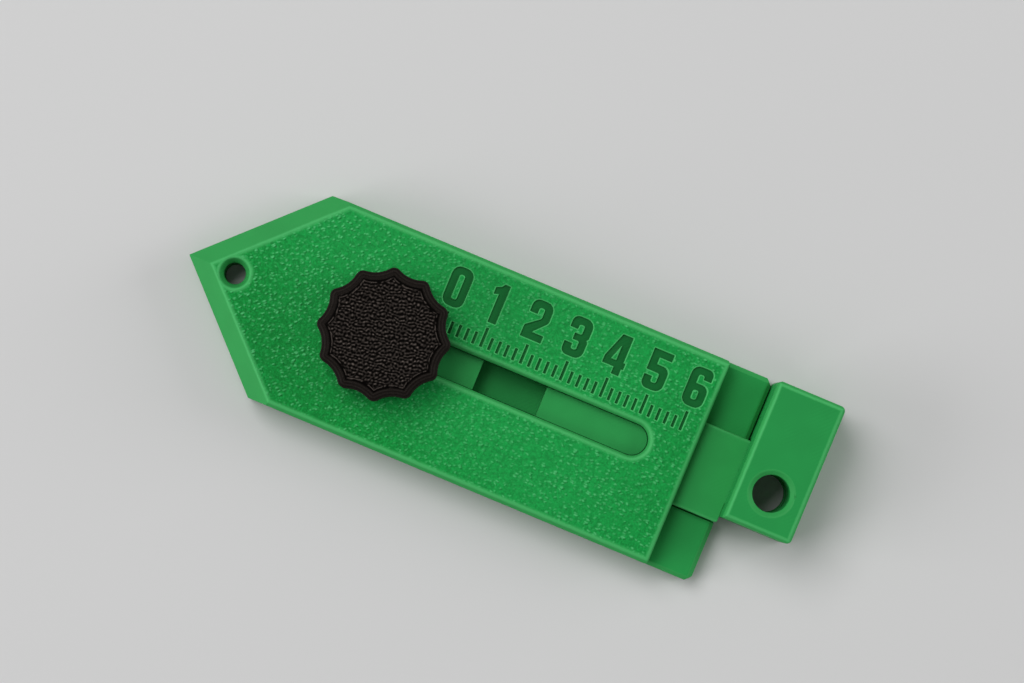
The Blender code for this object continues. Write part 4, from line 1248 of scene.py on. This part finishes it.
def make_fasteners():
    """Screws from below in finer shape, and finishes for the hardware that keeps its solids."""
    tree = fastener_tree()
    cover_screws = [f"cover_screw_{number}" for number in range(1, 6)]
    make_screws(tree, "cover_screw_set", cover_screws[1:], "gauge_body", 2, 2, cover_screws[:1])
    make_screws(tree, "head_screw_set", ["head_screw_1", "head_screw_2"], "slider", 2, 1)
    for node in ("clamp_bolt", "knob_nut", "knob_washer"):
        dress(node, "zinc plate")
    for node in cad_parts:
        if "insert" in node:
            dress(node, "turned brass")


# Stage

def make_floor():
    """A plain pale floor under the gauge."""
    material, shader, _, _ = new_finish("pale floor", 0.9, gloss=0.1)
    set_inputs(shader, {"Base Color": opaque(colours().floor)})
    signs = ((-1, -1), (1, -1), (1, 1), (-1, 1))
    corners = [(x * FLOOR_REACH, y * FLOOR_REACH, -FLOOR_DROP) for x, y in signs]
    mesh = bpy.data.meshes.new("floor")
    mesh.from_pydata(corners, [], [(0, 1, 2, 3)])
    mesh.materials.append(material)
    floor = linked("floor", mesh)


def make_sky():
    """An even sky that light paths from the camera, gloss and glass see in the floor's colour."""
    world = bpy.data.worlds.new("Pale sky")
    bpy.context.scene.world = world
    world.use_nodes = True
    tree = world.node_tree
    light = tree.nodes["Background"]
    set_inputs(light, {"Color": (1, 1, 1, 1), "Strength": bpy.context.scene.gauge_stage.sky_share})
    seen = get(tree, "ShaderNodeBackground", {"Color": opaque(colours().floor), "Strength": 1.0})
    path = add_node(tree, "ShaderNodeLightPath")
    camera, gloss, glass = (
        Wire(path.outputs[f"Is {kind} Ray"]) for kind in ("Camera", "Glossy", "Transmission"))
    blend = get(tree, "ShaderNodeMixShader", {
        0: camera.most(gloss.most(glass)), 1: Wire(light.outputs["Background"]), 2: seen})
    set_inputs(tree.nodes["World Output"], {"Surface": blend})


def make_lamps():
    """A high soft lamp and a low one on either side."""
    stage = bpy.context.scene.gauge_stage
    for name, bearing in LAMP_BEARINGS.items():
        azimuth, height = (math.radians(angle) for angle in bearing)
        source = Vector((
            math.cos(height) * math.cos(azimuth), math.cos(height) * math.sin(azimuth), math.sin(height)))
        share = stage.key_share if name == "key_lamp" else stage.side_share
        lamp = bpy.data.lights.new(name, "AREA")
        lamp.shape = "SQUARE"
        lamp.size = stage.lamp_size
        lamp.energy = share * math.pi ** 2 * stage.lamp_distance ** 2 / source.z
        holder = linked(name, lamp)
        holder.location = source * stage.lamp_distance
        holder.rotation_euler = source.to_track_quat("Z", "Y").to_euler()


def make_camera():
    """The camera, high over the gauge."""
    lens = bpy.data.cameras.new("camera")
    lens.lens = bpy.context.scene.gauge_stage.lens
    lens.sensor_width = SENSOR_WIDTH
    lens.clip_start, lens.clip_end = CAMERA_RANGE
    camera = linked("camera", lens)
    camera.location = CAMERA_PLACE
    camera.rotation_euler = [math.radians(turn) for turn in CAMERA_TURN]
    bpy.context.scene.camera = camera
    bpy.context.scene.view_settings.view_transform = "Standard"


class GAUGE_OT_body(bpy.types.Operator):
    """Make the cover with its scale, and the base"""

    bl_idname = "gauge.body"
    bl_label = "Make Body"

    def execute(self, context):
        make_cover()
        make_base()
        return {"FINISHED"}


class GAUGE_OT_slider(bpy.types.Operator):
    """Make the sliding bar and the offset end block"""

    bl_idname = "gauge.slider"
    bl_label = "Make Slider"

    def execute(self, context):
        make_bar()
        make_head()
        return {"FINISHED"}


class GAUGE_OT_knob(bpy.types.Operator):
    """Make the scalloped clamp knob"""

    bl_idname = "gauge.knob"
    bl_label = "Make Knob"

    def execute(self, context):
        make_knob()
        return {"FINISHED"}


class GAUGE_OT_fasteners(bpy.types.Operator):
    """Make the screws and finish the metal hardware"""

    bl_idname = "gauge.fasteners"
    bl_label = "Make Fasteners"

    def execute(self, context):
        make_fasteners()
        return {"FINISHED"}


class GAUGE_OT_stage(bpy.types.Operator):
    """Make the floor, the light and the camera"""

    bl_idname = "gauge.stage"
    bl_label = "Make Stage"

    def execute(self, context):
        make_floor()
        make_sky()
        make_lamps()
        make_camera()
        return {"FINISHED"}


class GAUGE_PT_panel(bpy.types.Panel):
    """Steps and settings of the marking gauge"""

    bl_idname = "GAUGE_PT_panel"
    bl_label = "Marking Gauge"
    bl_space_type = "VIEW_3D"
    bl_region_type = "UI"
    bl_category = "Marking Gauge"

    def draw(self, context):
        layout = self.layout
        for operator in OPERATORS:
            layout.operator(operator.bl_idname)
        for group in (context.scene.gauge_sizes, context.scene.gauge_colours, context.scene.gauge_stage):
            box = layout.box()
            for name in group.bl_rna.properties.keys():
                if name not in ("rna_type", "name"):
                    box.prop(group, name)


OPERATORS = (GAUGE_OT_body, GAUGE_OT_slider, GAUGE_OT_knob, GAUGE_OT_fasteners, GAUGE_OT_stage)
GROUPS = {"gauge_sizes": GaugeSizes, "gauge_colours": GaugeColours, "gauge_stage": GaugeStage}


def register():
    for item in (*GROUPS.values(), *OPERATORS, GAUGE_PT_panel):
        bpy.utils.register_class(item)
    for name, group in GROUPS.items():
        setattr(bpy.types.Scene, name, PointerProperty(type=group))


def unregister():
    for name in GROUPS:
        delattr(bpy.types.Scene, name)
    for item in reversed((*GROUPS.values(), *OPERATORS, GAUGE_PT_panel)):
        bpy.utils.unregister_class(item)


def main():
    register()
    bpy.ops.gauge.body()
    bpy.ops.gauge.slider()
    bpy.ops.gauge.knob()
    bpy.ops.gauge.fasteners()
    bpy.ops.gauge.stage()
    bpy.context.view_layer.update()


if __name__ == "__main__":
    main()
